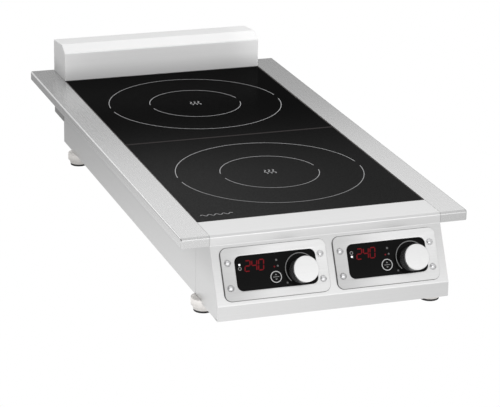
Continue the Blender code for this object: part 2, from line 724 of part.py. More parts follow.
def make_control_board(builder, side, centre):
    """The circuit board behind the overlay with its display, key switch and encoder body."""
    back = SMALL_BOARD_BACK
    face = back + BOARD_THICKNESS
    board = builder.add(
        f"control_board_{side}", box_mesh("board", block_corners(SMALL_BOARD, back, face)),
        "board_green", parent=builder.panel, location=(centre[0], centre[1], 0))
    blocks = {
        "display": block_corners(DISPLAY_OUTLINE, face - OVERLAP, DISPLAY_FACE),
        "switch": block_corners(around((KEY_X, -KEY_DOWN), KEY_SWITCH), face - OVERLAP,
                                KEY_SWITCH_FACE),
        "encoder": block_corners(around((KNOB_X, -KNOB_DOWN), ENCODER), *ENCODER_FACES),
    }
    for block in blocks.values():
        builder.combine(board, "UNION", box_mesh("block", block))


# ---------------------------------------------------------------- feet

def make_feet(builder):
    """Each foot is a metal collar over a tapered neck on a threaded stud, with a rubber pad."""
    ground = BODY_BOTTOM - FOOT_HEIGHT
    bottom = ground + PAD_HEIGHT
    top = BODY_BOTTOM - GAP
    stud_top = top + STUD_LENGTH
    collar_low = top - FOOT_COLLAR_HEIGHT
    edge = 0.8 * MM
    cup = [(0, stud_top), (STUD_RADIUS, stud_top), (STUD_RADIUS, top),
           (FOOT_COLLAR_RADIUS - edge, top), (FOOT_COLLAR_RADIUS, top - edge),
           (FOOT_COLLAR_RADIUS, collar_low + edge), (FOOT_COLLAR_RADIUS - edge, collar_low),
           (FOOT_NECK_RADIUS, collar_low), (FOOT_BASE_RADIUS, bottom + edge),
           (FOOT_BASE_RADIUS, bottom), (0, bottom)]
    pad_top = bottom - 0.1 * MM
    pad_radius = FOOT_BASE_RADIUS - 0.4 * MM
    pad = [(0, pad_top), (pad_radius, pad_top), (pad_radius, ground + edge),
           (pad_radius - edge, ground), (0, ground)]
    for name, (x, y) in FEET.items():
        turned(f"foot_cup_{name}", cup, builder, "chrome", steps=24, location=(x, y, 0))
        turned(f"foot_pad_{name}", pad, builder, "rubber", steps=24, location=(x, y, 0))


# ---------------------------------------------------------------- power electronics

def make_coil(builder, name, centre_y):
    """A flat spiral winding of thick stranded wire."""
    curve = bpy.data.curves.new(name, "CURVE")
    curve.dimensions = "3D"
    curve.bevel_depth = COIL_WIRE
    curve.bevel_resolution = 0
    curve.use_fill_caps = True
    stations = COIL_TURNS * COIL_STEPS
    spline = curve.splines.new("POLY")
    spline.points.add(stations)
    for i, point in enumerate(spline.points):
        share = i / stations
        radius = COIL_INNER + (COIL_OUTER - COIL_WIRE - COIL_INNER) * share
        angle = 2 * math.pi * COIL_TURNS * share
        point.co = (radius * math.cos(angle), radius * math.sin(angle), 0, 1)
    builder.add(f"coil_{name}", curve, "copper", location=(0, centre_y, COIL_HEIGHT))


def make_coil_carrier(builder, name, centre_y):
    """A round carrier on three legs, with radial ferrite bars below and a sensor boss inside."""
    top = COIL_HEIGHT - COIL_WIRE - GAP
    plate = rod_mesh("carrier", CARRIER_RADIUS, top - CARRIER_THICKNESS, top, steps=36)
    carrier = builder.add(f"coil_carrier_{name}", plate, "carrier", location=(0, centre_y, 0))
    boss = rod_mesh("boss", SENSOR_BOSS_RADIUS, top - OVERLAP, -GLASS_THICKNESS - GAP, steps=16)
    builder.combine(carrier, "UNION", boss)
    leg_x, leg_y = CARRIER_LEG_PLACE
    places = [(sx * leg_x, sy * leg_y) for sx in (-1, 1) for sy in (-1, 1)]
    legs = rod_mesh("legs", CARRIER_LEG_RADIUS, FLOOR_TOP + GAP, top - OVERLAP, places, steps=8)
    builder.combine(carrier, "UNION", legs)
    reach, half_width, drop = FERRITE_BAR
    for i in range(FERRITE_BARS):
        turn = math.pi * (i + 0.5) / FERRITE_BARS
        bar = box_mesh("bar", ((-reach, -half_width, top - drop), (reach, half_width, top - OVERLAP)))
        builder.combine(carrier, "UNION", bar, (0, centre_y, 0), (0, 0, turn))


def make_power_board(builder, name, centre_y):
    """The generator board: capacitors, a choke and three cans stand beside the heat sink."""
    low = FLOOR_TOP + BOARD_STANDOFF
    board = builder.add(
        f"power_board_{name}",
        box_mesh("board", block_corners(POWER_BOARD, low, low + BOARD_THICKNESS)),
        "board_green", location=(0, centre_y, 0))
    blocks = [(outline, CAPACITOR_HEIGHT) for outline in CAPACITORS] + [(CHOKE, CHOKE_HEIGHT)]
    for outline, height in blocks:
        corners = block_corners(outline, low + OVERLAP, low + height)
        builder.combine(board, "UNION", box_mesh("block", corners))
    cans = rod_mesh("cans", CAN_RADIUS, low + OVERLAP, low + CAN_HEIGHT, CANS, steps=14)
    builder.combine(board, "UNION", cans)


def make_heat_sink(builder, name, centre_y):
    """An extruded comb of fins that run along the air stream."""
    width, length, height = HEAT_SINK
    pitch = (width - FIN_THICKNESS) / (FINS - 1)
    outline = [(-width / 2, 0), (width / 2, 0)]
    for i in reversed(range(FINS)):
        left = -width / 2 + pitch * i
        outline += [(left + FIN_THICKNESS, height), (left, height)]
        if i:
            outline += [(left, HEAT_SINK_BASE), (left - pitch + FIN_THICKNESS, HEAT_SINK_BASE)]
    curve = flat_curve("heat_sink", [outline], length)
    low = FLOOR_TOP + BOARD_STANDOFF + BOARD_THICKNESS + GAP
    builder.add(f"heat_sink_{name}", curve, "aluminium",
                location=(FAN_X, centre_y + HEAT_SINK_SHIFT, low), rotation=(math.pi / 2, 0, 0))


def make_fan(builder, name, centre_y):
    """A square axial fan across y: a frame with a four-arm motor mount, and a seven-blade rotor."""
    place = (FAN_X, centre_y + FAN_SHIFT, FAN_HEIGHT)
    facing = (math.pi / 2, 0, 0)
    half = FAN_SIZE / 2
    frame = builder.add(
        f"fan_frame_{name}",
        box_mesh("frame", ((-half, -half, -FAN_DEPTH / 2), (half, half, FAN_DEPTH / 2))),
        "black_plastic", location=place, rotation=facing)
    bore = rod_mesh("bore", FAN_BORE, -FAN_DEPTH, FAN_DEPTH, steps=32)
    builder.combine(frame, "DIFFERENCE", bore, place, facing)
    arm_length, arm_width, arm_height = FAN_ARM
    back = -FAN_DEPTH / 2
    for turn in (45, 135):
        arm = box_mesh("arm", ((-arm_length / 2, -arm_width / 2, back),
                               (arm_length / 2, arm_width / 2, back + arm_height)))
        builder.combine(frame, "UNION", arm, place, (math.pi / 2, math.radians(turn), 0))
    motor = rod_mesh("motor", FAN_MOTOR_RADIUS, back, FAN_MOTOR_TOP, steps=20)
    builder.combine(frame, "UNION", motor, place, facing)

    low, high = FAN_HUB_FACES
    inner, crown, edge = FAN_HUB - FAN_HUB_WALL, high - FAN_HUB_CROWN, 1 * MM
    cup = [(0, high), (FAN_HUB - edge, high), (FAN_HUB, high - edge), (FAN_HUB, low),
           (inner, low), (inner, crown), (0, crown)]
    rotor = turned(f"fan_rotor_{name}", cup, builder, "black_plastic", steps=28, location=place,
                   rotation=facing)
    bm = bmesh.new()
    for i in range(FAN_BLADES):
        spin = Matrix.Rotation(2 * math.pi * i / FAN_BLADES, 4, "Z")
        tilt = Matrix.Rotation(BLADE_TILT, 4, "X")
        middle = Matrix.Translation(((BLADE_ROOT + ROTOR_TIP) / 2, 0, 0))
        size = Matrix.Diagonal((ROTOR_TIP - BLADE_ROOT, BLADE_CHORD, BLADE_THICKNESS, 1))
        bmesh.ops.create_cube(bm, size=1, matrix=spin @ middle @ tilt @ size)
    builder.combine(rotor, "UNION", mesh_from(bm, "blades"), place, facing)


def make_mains(builder):
    """The terminal block inside, and the cable gland through the body's rear wall."""
    low = FLOOR_TOP + GAP
    top = low + TERMINAL_HEIGHT
    block = builder.add("mains_terminal", box_mesh("terminal", block_corners(TERMINAL, low, top)),
                        "black_plastic")
    clamps = rod_mesh("clamps", CLAMP_RADIUS, top - CLAMP_DEPTH, top + CLAMP_DEPTH, CLAMPS, steps=10)
    builder.combine(block, "DIFFERENCE", clamps)

    foot = -(SHEET + GAP + GLAND_INSIDE)
    flange, shoulder, nose = GLAND_FLANGE, GLAND_SHOULDER, GLAND_NOSE
    profile = [(GLAND_BORE, nose[1]), nose, shoulder, flange, (flange[0], GAP),
               (GLAND_RADIUS, GAP), (GLAND_RADIUS, foot), (GLAND_BORE, foot), (GLAND_BORE, nose[1])]
    turned("cable_gland", profile, builder, "black_plastic", steps=24,
           location=(GLAND_PLACE[0], BODY_BACK, GLAND_PLACE[1]), rotation=(-math.pi / 2, 0, 0))


def build():
    clear_scene()
    builder = Builder()
    make_fascia(builder)
    make_wings(builder)
    make_side_panels(builder)
    make_cheeks(builder)
    make_bottom_plate(builder)
    make_rear_wall(builder)
    make_rear_hood(builder)
    make_rear_panel(builder)
    make_glass(builder)
    make_support_tray(builder)
    for side, centre in module_places().items():
        make_bezel(builder, side, centre)
        make_screws(builder, side, centre)
        make_overlay(builder, side, centre)
        make_key(builder, side, centre)
        make_knob(builder, side, centre)
        make_control_board(builder, side, centre)
    make_feet(builder)
    for name, centre_y in ZONES.items():
        make_coil(builder, name, centre_y)
        make_coil_carrier(builder, name, centre_y)
        make_power_board(builder, name, centre_y)
        make_heat_sink(builder, name, centre_y)
        make_fan(builder, name, centre_y)
    make_mains(builder)


build()
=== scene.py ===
"""The looks of the two-zone induction cooktop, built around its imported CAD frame.

Sizes and places come from the frame's boxes. What the frame doesn't hold, such as bend radii,
printed marks and surface finishes, is named here. Everything is in metres in the frame's own axes:
x to the right, y to the back, z up. Control-panel pieces are made in panel coordinates (x to the
right, y up the slope, z out of the panel) and then moved into place by PANEL.
"""

import json
import math

import bmesh
import bpy
from mathutils import Matrix, Vector


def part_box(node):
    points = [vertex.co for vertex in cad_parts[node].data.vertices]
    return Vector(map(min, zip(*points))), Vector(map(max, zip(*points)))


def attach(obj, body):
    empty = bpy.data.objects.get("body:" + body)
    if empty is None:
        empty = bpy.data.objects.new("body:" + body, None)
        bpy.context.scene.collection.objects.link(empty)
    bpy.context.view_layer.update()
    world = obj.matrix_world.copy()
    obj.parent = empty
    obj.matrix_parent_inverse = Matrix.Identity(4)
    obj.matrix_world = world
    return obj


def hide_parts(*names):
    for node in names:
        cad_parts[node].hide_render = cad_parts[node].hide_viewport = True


MM = 0.001

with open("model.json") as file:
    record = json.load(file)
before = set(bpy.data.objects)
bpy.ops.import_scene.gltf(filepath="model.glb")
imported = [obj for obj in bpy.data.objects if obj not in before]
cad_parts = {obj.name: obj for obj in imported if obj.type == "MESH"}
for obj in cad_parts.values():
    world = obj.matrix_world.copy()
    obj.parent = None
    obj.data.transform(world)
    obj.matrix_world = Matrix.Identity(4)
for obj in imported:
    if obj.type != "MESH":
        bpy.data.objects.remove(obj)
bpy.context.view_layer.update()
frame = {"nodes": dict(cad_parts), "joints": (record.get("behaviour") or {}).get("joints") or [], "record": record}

# ---------------------------------------------------------------- sizes from the frame

GLASS_LOW = Vector(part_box("glass_front")[0])
GLASS_HIGH = Vector(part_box("glass_rear")[1])
DECK_Z = GLASS_HIGH.z
FASCIA_LOW, FASCIA_HIGH = (Vector(c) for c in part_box("front_fascia"))
WING_LOW = Vector(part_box("wing_left")[0])
HOOD_LOW, HOOD_HIGH = (Vector(c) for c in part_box("rear_hood"))
REAR_LOW, REAR_HIGH = (Vector(c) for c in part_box("rear_panel"))
HALF_CORE = FASCIA_HIGH.x
LIP_Y = WING_LOW.y
RIM = DECK_Z - WING_LOW.z
SHEET = 1.5 * MM
GAP = 0.3 * MM
OUTWARD = next(Vector(j["axis"]) for j in frame["joints"] if j["name"] == "knob_left_turn")
PANEL_TILT = math.atan2(-OUTWARD.y, OUTWARD.z)
SLOPE_BOTTOM = DECK_Z - RIM - (LIP_Y - FASCIA_LOW.y) * math.tan(PANEL_TILT)
PANEL = Matrix.Translation((0, LIP_Y, DECK_Z - RIM)) @ Matrix.Rotation(PANEL_TILT, 4, "X")
ZONE_Y = {name: sum(c[1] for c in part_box(f"coil_carrier_{name}")) / 2 for name in ("front", "rear")}

# ---------------------------------------------------------------- sizes the frame doesn't hold

# Front sheet: its bend radii from the deck down, and half the hole behind each window.
FASCIA_BENDS = (4 * MM, 1.8 * MM, 5 * MM, 2.5 * MM)
FASCIA_EDGE = 0.45 * MM
HALF_PANEL_HOLE = Vector((58 * MM, 25 * MM, 6 * MM))

# Side ledges and panels.
LEDGE_FRONT_BEND = 4 * MM
LEDGE_OUTER_BEND = 2.4 * MM
LEDGE_FRONT_WALL = 7 * MM
PLATE_EDGE = 0.5 * MM

# Upstand: the height of its face, how far back its ridge lies, and its bends and walls.
UPSTAND_FACE = 45 * MM
RIDGE_BACK = 20 * MM
HOOD_BENDS = (0, 3 * MM, 4 * MM, 0)
HOOD_RIM = 1.2 * MM
HOOD_WALL = 1.8 * MM

# Back sheet: its outlet slots in three banks of four rows.
OUTLET_LENGTH = 60 * MM
OUTLET_WIDTH = 5 * MM
OUTLET_PITCH = 11 * MM
OUTLET_BANKS = (-100 * MM, 0, 100 * MM)
OUTLET_ROWS = 4
OUTLET_LOWEST = 6.5 * MM

# Print on the glass, and the bead between the two plates.
INK = 0.08 * MM
RINGS = (131.8 * MM, 69.6 * MM)
RING_LINE = 1.05 * MM
RING_BREAK = 20 * MM
MARK_LINE = 1.3 * MM
CENTRE_MARK_COLUMNS = (-6 * MM, 0, 6 * MM)
DECK_MARK_ENDS = (-149 * MM, -104 * MM)
DECK_MARK_INSET = 21 * MM
DECK_MARK_WAVES = 4.5
JOINT_WIDTH = 4.4 * MM

# Bezels: outline, screw dishes (rim and floor radius, depth) and the seal that shows round them, dark as a painted
# shadow line.
BEZEL = (145 * MM, 69.5 * MM)
BEZEL_TOP = 2 * MM + GAP
BEZEL_CORNER = 9.5 * MM
BEZEL_EDGE = 0.6 * MM
DISH_RIM = 4.9 * MM
DISH_FLOOR = 3.5 * MM
DISH_DEPTH = 1.1 * MM
SCREW_HOLE = 1.8 * MM
SEAL_SHADOW_EDGE = 0.6 * MM
SEAL_MARGIN = 12 * MM
SEAL_SLACK = 0.03 * MM

# Bezel screws.
SCREW_HEAD = 3.2 * MM
SCREW_RISE = 2.2 * MM
SCREW_RIM = 0.35 * MM
SCREW_SHANK = 1.7 * MM
SCREW_REACH = 6 * MM

# Windows: outline, holes, and the places of what is printed on them, from the window's middle.
WINDOW = (111 * MM, 46 * MM)
WINDOW_CORNER = 8.5 * MM
WINDOW_TOP = 2 * MM
KEY_HOLE = 8.15 * MM
SHAFT_HOLE = 4 * MM
SEGMENTS = {"0": "abcdef", "2": "abged", "4": "fgbc"}
DIGIT = (6.8 * MM, 13.6 * MM)
DIGIT_PITCH = 9.3 * MM
DIGITS_AT = (-42.6 * MM, 2.2 * MM)
STROKE = 1.45 * MM
SLANT = 0.12
DIAL_RADIUS = 20.6 * MM
DIAL_LINE = 1 * MM
ZONE_LAMP_X = -49.2 * MM
ZONE_LAMP_ROWS = (6.4 * MM, 11.4 * MM)
RED_LAMP = ((-2.2 * MM, 4.6 * MM), 1.1 * MM)
SMALL_MARKS = (((1.4 * MM, 13 * MM), 1.5 * MM), ((2.6 * MM, 5.2 * MM), 1.3 * MM),
               ((12.8 * MM, -18 * MM), 1.3 * MM))

# Keys: the cap's radius and back, and its stem.
KEY_RADIUS = 7.9 * MM
KEY_BACK = -1.2 * MM
KEY_STEM = (2.5 * MM, -5.4 * MM)

# Knobs: the heights are above the panel.
CAP_RADIUS = 17.2 * MM
CAP_TOP = 24 * MM
KNOB_BASE = 2.6 * MM
KNOB_COLLAR = 20.3 * MM
FLUTES = 36
FLUTE_DEPTH = 0.018

# Feet.
STUD_LENGTH = 12 * MM
STUD_RADIUS = 4 * MM
COLLAR_HEIGHT = 11 * MM

# Brightness of the studio floor near and far, and of the tent round the object.
FLOOR_NEAR = 1.05
FLOOR_FAR = 0.42
WORLD_BACK = 0.42
WORLD_HIGH = 0.6
WORLD_FRONT = 0.8
WORLD_TOP = 1.0
WORLD_LEFT = 0.15

# Camera: its turns in degrees, and its place from the middle of the glass's front edge.
LENS = 163.0
CAMERA_YAW = 19.16
CAMERA_PITCH = 19.22
CAMERA_ROLL = 0.917
CAMERA_PLACE = Vector((-1.0101, -2.6535, 0.9983))


def on_panel(node):
    """A node's middle in panel coordinates."""
    low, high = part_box(node)
    return PANEL.inverted() @ ((Vector(low) + Vector(high)) / 2)


def panel_place(centre):
    """Moves a piece made round the z axis to a point of the panel."""
    return PANEL @ Matrix.Translation((centre.x, centre.y, 0))


# ---------------------------------------------------------------- materials

class Nodes:
    """A small wrapper round one material's node tree."""

    def __init__(self, name, color, roughness, metallic=0.0, **sockets):
        self.material = bpy.data.materials.new(name)
        self.material.use_nodes = True
        self.material.diffuse_color = (*color, 1.0)
        self.tree = self.material.node_tree
        self.shader = self.tree.nodes["Principled BSDF"]
        self.set(self.shader, "Base Color", (*color, 1.0))
        self.set(self.shader, "Roughness", roughness)
        self.set(self.shader, "Metallic", metallic)
        for socket, value in sockets.items():
            self.set(self.shader, socket.replace("_", " "), value)

    def set(self, node, socket, value):
        node.inputs[socket].default_value = value

    def add(self, kind, **values):
        node = self.tree.nodes.new(kind)
        for name, value in values.items():
            if hasattr(node, name):
                setattr(node, name, value)
            else:
                node.inputs[name.replace("_", " ")].default_value = value
        return node

    def link(self, source, output, target, socket):
        self.tree.links.new(source.outputs[output], target.inputs[socket])

    def noise(self, stretch, detail=4.0, roughness=0.55):
        """Noise over the piece's own coordinates, in features per metre along each axis."""
        place = self.add("ShaderNodeTexCoord")
        mapping = self.add("ShaderNodeMapping", Scale=stretch)
        self.link(place, "Object", mapping, "Vector")
        noise = self.add("ShaderNodeTexNoise", Scale=1.0, Detail=detail, Roughness=roughness)
        self.link(mapping, "Vector", noise, "Vector")
        return noise

    def ramp_color(self, noise, dark, light, low=0.35, high=0.65):
        """Colours the surface from dark to light with the noise."""
        ramp = self.add("ShaderNodeValToRGB")
        ramp.color_ramp.elements[0].position = low
        ramp.color_ramp.elements[0].color = (*dark, 1.0)
        ramp.color_ramp.elements[1].position = high
        ramp.color_ramp.elements[1].color = (*light, 1.0)
        self.link(noise, "Fac", ramp, "Fac")
        self.link(ramp, "Color", self.shader, "Base Color")

    def span(self, source, output, start, end, low, high):
        """A smooth step from low to high as the input goes from start to end."""
        node = self.add("ShaderNodeMapRange", interpolation_type="SMOOTHSTEP")
        for socket, value in zip(("From Min", "From Max", "To Min", "To Max"),
                                 (start, end, low, high)):
            node.inputs[socket].default_value = value
        self.link(source, output, node, "Value")
        return node

    def vary_roughness(self, noise, low, high):
        span = self.add("ShaderNodeMapRange", To_Min=low, To_Max=high)
        self.link(noise, "Fac", span, "Value")
        self.link(span, "Result", self.shader, "Roughness")

    def drift(self, axis, start, end, low, high):
        """Scales the colour by a smooth step along one axis of the piece's own coordinates."""
        color = self.shader.inputs["Base Color"].links[0].from_socket
        place = self.add("ShaderNodeTexCoord")
        axes = self.add("ShaderNodeSeparateXYZ")
        self.link(place, "Object", axes, "Vector")
        factor = self.span(axes, axis, start, end, low, high)
        scale = self.add("ShaderNodeVectorMath", operation="SCALE")
        self.tree.links.new(color, scale.inputs["Vector"])
        self.link(factor, "Result", scale, "Scale")
        self.link(scale, "Vector", self.shader, "Base Color")

    def bump(self, noise, strength, distance):
        bump = self.add("ShaderNodeBump", Strength=strength, Distance=distance)
        self.link(noise, "Fac", bump, "Height")
        self.link(bump, "Normal", self.shader, "Normal")


def shades(color, spread):
    """A darker and a lighter shade of a colour."""
    return [tuple(max(0.0, min(1.0, c * (1 + s))) for c in color) for s in (-spread, spread)]


def brushed(name, color, roughness, grain, spread=0.035, metallic=1.0, depth=0.08, drifts=()):
    """Brushed sheet: long fine scratches along the grain axis, with any slow drifts of tone that paint light and
    shade.
    """
    nodes = Nodes(name, color, roughness, metallic)
    fine = [1400.0, 1400.0, 1400.0]
    fine["xyz".index(grain)] = 9.0
    scratches = nodes.noise(fine, detail=6.0, roughness=0.7)
    nodes.ramp_color(scratches, *shades(color, spread), 0.3, 0.7)
    nodes.vary_roughness(scratches, roughness - spread, roughness + 1.5 * spread)
    nodes.bump(scratches, depth, 0.0001)
    for drift in drifts:
        nodes.drift(*drift)
    return nodes.material


def bezel_steel(side):
    """Brushed bezel sheet with painted shade: a painted shadow line along its left edge, darker over its left half
    and along its foot.
    """
    low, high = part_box(f"bezel_{side}")
    # Painted shade and light: a dark rim at the left edge, darker towards the left end and the foot, lighter
    # towards the top.
    drifts = [("X", low[0], low[0] + 1.2 * MM, 0.4, 1.0),
              ("X", low[0], low[0] + 0.55 * (high[0] - low[0]), 0.74, 1.0),
              ("Z", low[2], high[2], 0.88, 1.1)]
    return brushed(f"bezel_{side}_brushed_steel", (0.72, 0.72, 0.72), 0.3, "x", 0.05, 0.85,
                   drifts=drifts)


def black_glass(name):
    """Glass-ceramic: deep black and faintly wavy, with a painted sheen that makes it lighter towards the front
    left as in the photo.

    Its index is far below that of glass, because the photo shows hardly any reflection in it.
    """
    nodes = Nodes(name, (0.002, 0.002, 0.002), 0.2, IOR=1.022)
    waves = nodes.noise((18.0, 18.0, 18.0), detail=2.0)
    nodes.bump(waves, 0.02, 0.0004)
    specks = nodes.noise((900.0, 900.0, 900.0), detail=2.0)
    nodes.ramp_color(specks, (0.001, 0.001, 0.001), (0.002, 0.002, 0.002), 0.4, 0.75)
    # Painted sheen: the colour grows much lighter towards the front and a little lighter towards the left.
    nodes.drift("Y", -0.38, 0.17, 19.0, 1.0)
    nodes.drift("X", -0.15, 0.15, 1.35, 0.7)
    return nodes.material


def gloss_black(name):
    """Back-printed window foil: a soft orange-peel surface with weaker reflections than real foil."""
    nodes = Nodes(name, (0.0045, 0.0045, 0.0045), 0.12, Specular_IOR_Level=0.06)
    peel = nodes.noise((350.0, 350.0, 350.0), detail=2.0)
    nodes.bump(peel, 0.03, 0.0002)
    nodes.vary_roughness(peel, 0.09, 0.16)
    return nodes.material


def moulded(name, color, roughness, grain=1800.0, specular=0.4):
    """Moulded plastic or rubber with a fine even grain."""
    nodes = Nodes(name, color, roughness, Specular_IOR_Level=specular)
    texture = nodes.noise((grain, grain, grain), detail=3.0)
    nodes.ramp_color(texture, *shades(color, 0.12))
    nodes.vary_roughness(texture, roughness - 0.05, roughness + 0.06)
    nodes.bump(texture, 0.15, 0.0001)
    return nodes.material


def plated(name, color, roughness, metallic=1.0, drifts=()):
    """Plated turned metal: bright, with faint tool rings across z and a little clouding."""
    nodes = Nodes(name, color, roughness, metallic)
    rings = nodes.noise((12.0, 12.0, 1500.0), detail=3.0)
    nodes.ramp_color(rings, *shades(color, 0.06))
    nodes.vary_roughness(rings, roughness - 0.04, roughness + 0.06)
    nodes.bump(rings, 0.08, 0.0001)
    for drift in drifts:
        nodes.drift(*drift)
    return nodes.material


def printed(name, color):
    """Screen-printed ink: flat-looking, with the faint unevenness of a ceramic print."""
    nodes = Nodes(name, color, 0.5)
    ink = nodes.noise((1500.0, 1500.0, 1500.0), detail=2.0)
    nodes.ramp_color(ink, *shades(color, 0.12))
    return nodes.material


def lit(name, color, strength):
    """A lamp or a display segment that glows a little unevenly."""
    nodes = Nodes(name, color, 0.3, Specular_IOR_Level=0.1, Emission_Color=(*color, 1.0),
                  Emission_Strength=strength)
    glow = nodes.noise((700.0, 700.0, 700.0), detail=1.0)
    nodes.ramp_color(glow, *shades(color, 0.1))
    return nodes.material


def stranded_copper(name):
    """Wound copper strands, darker between them."""
    nodes = Nodes(name, (0.62, 0.3, 0.15), 0.4, 1.0)
    strands = nodes.noise((500.0, 500.0, 1200.0), detail=3.0)
    nodes.ramp_color(strands, (0.45, 0.2, 0.09), (0.78, 0.42, 0.24))
    nodes.bump(strands, 0.4, 0.0004)
    return nodes.material


def circuit_board(name):
    """Green lacquer over copper tracks."""
    nodes = Nodes(name, (0.04, 0.17, 0.07), 0.45)
    copper = nodes.noise((240.0, 240.0, 40.0), detail=2.0)
    nodes.ramp_color(copper, (0.025, 0.12, 0.05), (0.06, 0.25, 0.1), 0.48, 0.52)
    nodes.bump(copper, 0.1, 0.0001)
    return nodes.material


# The drifts carry part of the photo's shading, where the studio's lights don't give its tones.
MATERIALS = {
    # Ledges: painted shade, a little lighter at the front and darker towards the back.
    "ledge": brushed("ledge_brushed_steel", (0.565, 0.565, 0.565), 0.27, "y", 0.009, 0.95, 0.012,
                     [("Y", -0.1, 0.2, 1.03, 0.95)]),
    # Front sheet: a painted highlight, a little lighter along the top of the lip and the deck strip.
    "fascia": brushed("fascia_brushed_steel", (0.65, 0.65, 0.65), 0.3, "x", 0.03, 0.85, 0.05,
                      [("Z", DECK_Z - 16 * MM, DECK_Z - 6 * MM, 1.0, 1.045)]),
    # Side sheets: painted shade, darker towards the top where the ledges overhang.
    "side": brushed("side_brushed_steel", (0.6, 0.6, 0.6), 0.34, "y", 0.025, 0.85, 0.05,
                    [("Z", DECK_Z - 75 * MM, DECK_Z - 20 * MM, 1.0, 0.83)]),
    # Upstand and duct: painted shade, dark below the deck and darker just above it, and a painted highlight
    # towards the right end.
    "upstand": brushed("upstand_brushed_steel", (0.77, 0.77, 0.77), 0.5, "x", 0.02, 0.15, 0.04,
                       [("Z", DECK_Z - 60 * MM, DECK_Z - 12 * MM, 0.5, 1.0),
                        ("Z", DECK_Z, DECK_Z + 28 * MM, 0.76, 1.0),
                        ("X", 105 * MM, 150 * MM, 1.0, 1.08)]),
    "back": brushed("back_brushed_steel", (0.66, 0.66, 0.66), 0.42, "x", 0.03, 0.7, 0.05),
    "bezel_left": bezel_steel("left"),
    "bezel_right": bezel_steel("right"),
    "cap": brushed("cap_satin_silver", (0.74, 0.74, 0.74), 0.34, "x", 0.02, metallic=0.85),
    "screw": plated("screw_bright_steel", (0.72, 0.72, 0.73), 0.22),
    "inner_steel": brushed("inner_zinc_sheet", (0.5, 0.51, 0.53), 0.42, "x", 0.08),
    "aluminium": brushed("extruded_aluminium", (0.68, 0.69, 0.7), 0.4, "y", 0.06),
    # Feet: painted shade low on the collar and a painted highlight towards its top.
    "chrome": plated("foot_satin_chrome", (0.8, 0.775, 0.75), 0.4, 0.3,
                     [("Z", 3 * MM, 20 * MM, 0.8, 1.2)]),
    "shaft": plated("plated_shaft", (0.75, 0.75, 0.76), 0.25),
    "glass": black_glass("black_glass_ceramic"),
    "window": gloss_black("black_window_foil"),
    "plastic": moulded("black_moulded_plastic", (0.02, 0.02, 0.021), 0.38),
    "knob": moulded("black_knob_plastic", (0.042, 0.042, 0.043), 0.26, 1200.0),
    "rubber": moulded("black_rubber", (0.018, 0.018, 0.018), 0.75, 900.0),
    "silicone": moulded("dark_silicone", (0.035, 0.03, 0.027), 0.6, 700.0),
    "carrier": moulded("grey_carrier_plastic", (0.22, 0.22, 0.23), 0.55),
    "copper": stranded_copper("stranded_copper"),
    "board": circuit_board("green_circuit_board"),
    "ring_print": printed("ring_print", (0.28, 0.28, 0.285)),
    "panel_print": printed("panel_print", (0.55, 0.55, 0.55)),
    "arc_print": printed("arc_print", (0.22, 0.22, 0.22)),
    "dim_print": printed("dim_print", (0.1, 0.1, 0.1)),
    "joint": moulded("glass_joint_bead", (0.022, 0.019, 0.019), 0.7, 900.0, specular=0.05),
    "seal_shadow_line": moulded("grey_seal_shadow_line", (0.16, 0.16, 0.16), 0.6, 900.0),
    "red_segment": lit("red_segment", (0.125, 0.0024, 0.005), 0.4),
    "red_lamp": lit("red_lamp", (0.14, 0.006, 0.01), 0.2),
    "white_lamp": lit("white_lamp", (0.8, 0.8, 0.8), 0.6),
}

SLOT_MATERIAL = {
    "brushed_steel": "side",
    "bezel_steel": "bezel_left",
    "screw_steel": "screw",
    "inner_steel": "inner_steel",
    "satin_silver": "cap",
    "aluminium": "aluminium",
    "chrome": "shaft",
    "foot_metal": "chrome",
    "black_glass": "glass",
    "black_gloss": "window",
    "black_plastic": "plastic",
    "silicone": "silicone",
    "rubber": "rubber",
    "copper_wire": "copper",
    "coil_carrier": "carrier",
    "circuit_board": "board",
}


# ---------------------------------------------------------------- building blocks

def clean(mesh):
    """Welds coincident corners and turns every face outwards."""
    bm = bmesh.new()
    bm.from_mesh(mesh)
    bmesh.ops.remove_doubles(bm, verts=bm.verts, dist=0.000004)
    bmesh.ops.recalc_face_normals(bm, faces=bm.faces)
    bm.to_mesh(mesh)
    bm.free()
    return mesh


def piece(name, mesh, material, body="body", replaces=(), place=None, angle=32):
    """Puts a finished mesh in the scene as one piece that rides on a body."""
    if place is not None:
        mesh.transform(place)
    mesh.shade_smooth()
    mesh.set_sharp_from_angle(angle=math.radians(angle))
    mesh.materials.clear()
    mesh.materials.append(MATERIALS[material])
    item = bpy.data.objects.new(name, mesh)
    bpy.context.scene.collection.objects.link(item)
    flat = item.modifiers.new("flat_faces_stay_flat", "WEIGHTED_NORMAL")
    flat.keep_sharp = True
    if replaces:
        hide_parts(*replaces)
    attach(item, body)
    return item


def evaluated_mesh(item, name):
    """The mesh of an object with its modifiers applied; the object goes."""
    bpy.context.view_layer.update()
    graph = bpy.context.evaluated_depsgraph_get()
    mesh = bpy.data.meshes.new_from_object(item.evaluated_get(graph))
    mesh.name = name
    bpy.data.objects.remove(item)
    return mesh


def staged(data):
    """A temporary object for work with modifiers."""
    item = bpy.data.objects.new("work", data)
    bpy.context.scene.collection.objects.link(item)
    return item


def cut_out(mesh, tools):
    """A mesh with other meshes cut from it."""
    work = staged(mesh)
    helpers = []
    for tool in tools:
        helper = staged(tool)
        modifier = work.modifiers.new("cut", "BOOLEAN")
        modifier.operation = "DIFFERENCE"
        modifier.object = helper
        helpers.append(helper)
    result = evaluated_mesh(work, mesh.name)
    for helper in helpers:
        bpy.data.objects.remove(helper)
    return result


def bevelled(mesh, width):
    """A mesh with its sharp edges rounded."""
    work = staged(mesh)
    modifier = work.modifiers.new("edge", "BEVEL")
    modifier.width = width
    modifier.segments = 3
    modifier.limit_method = "ANGLE"
    modifier.angle_limit = math.radians(40)
    return evaluated_mesh(work, mesh.name)


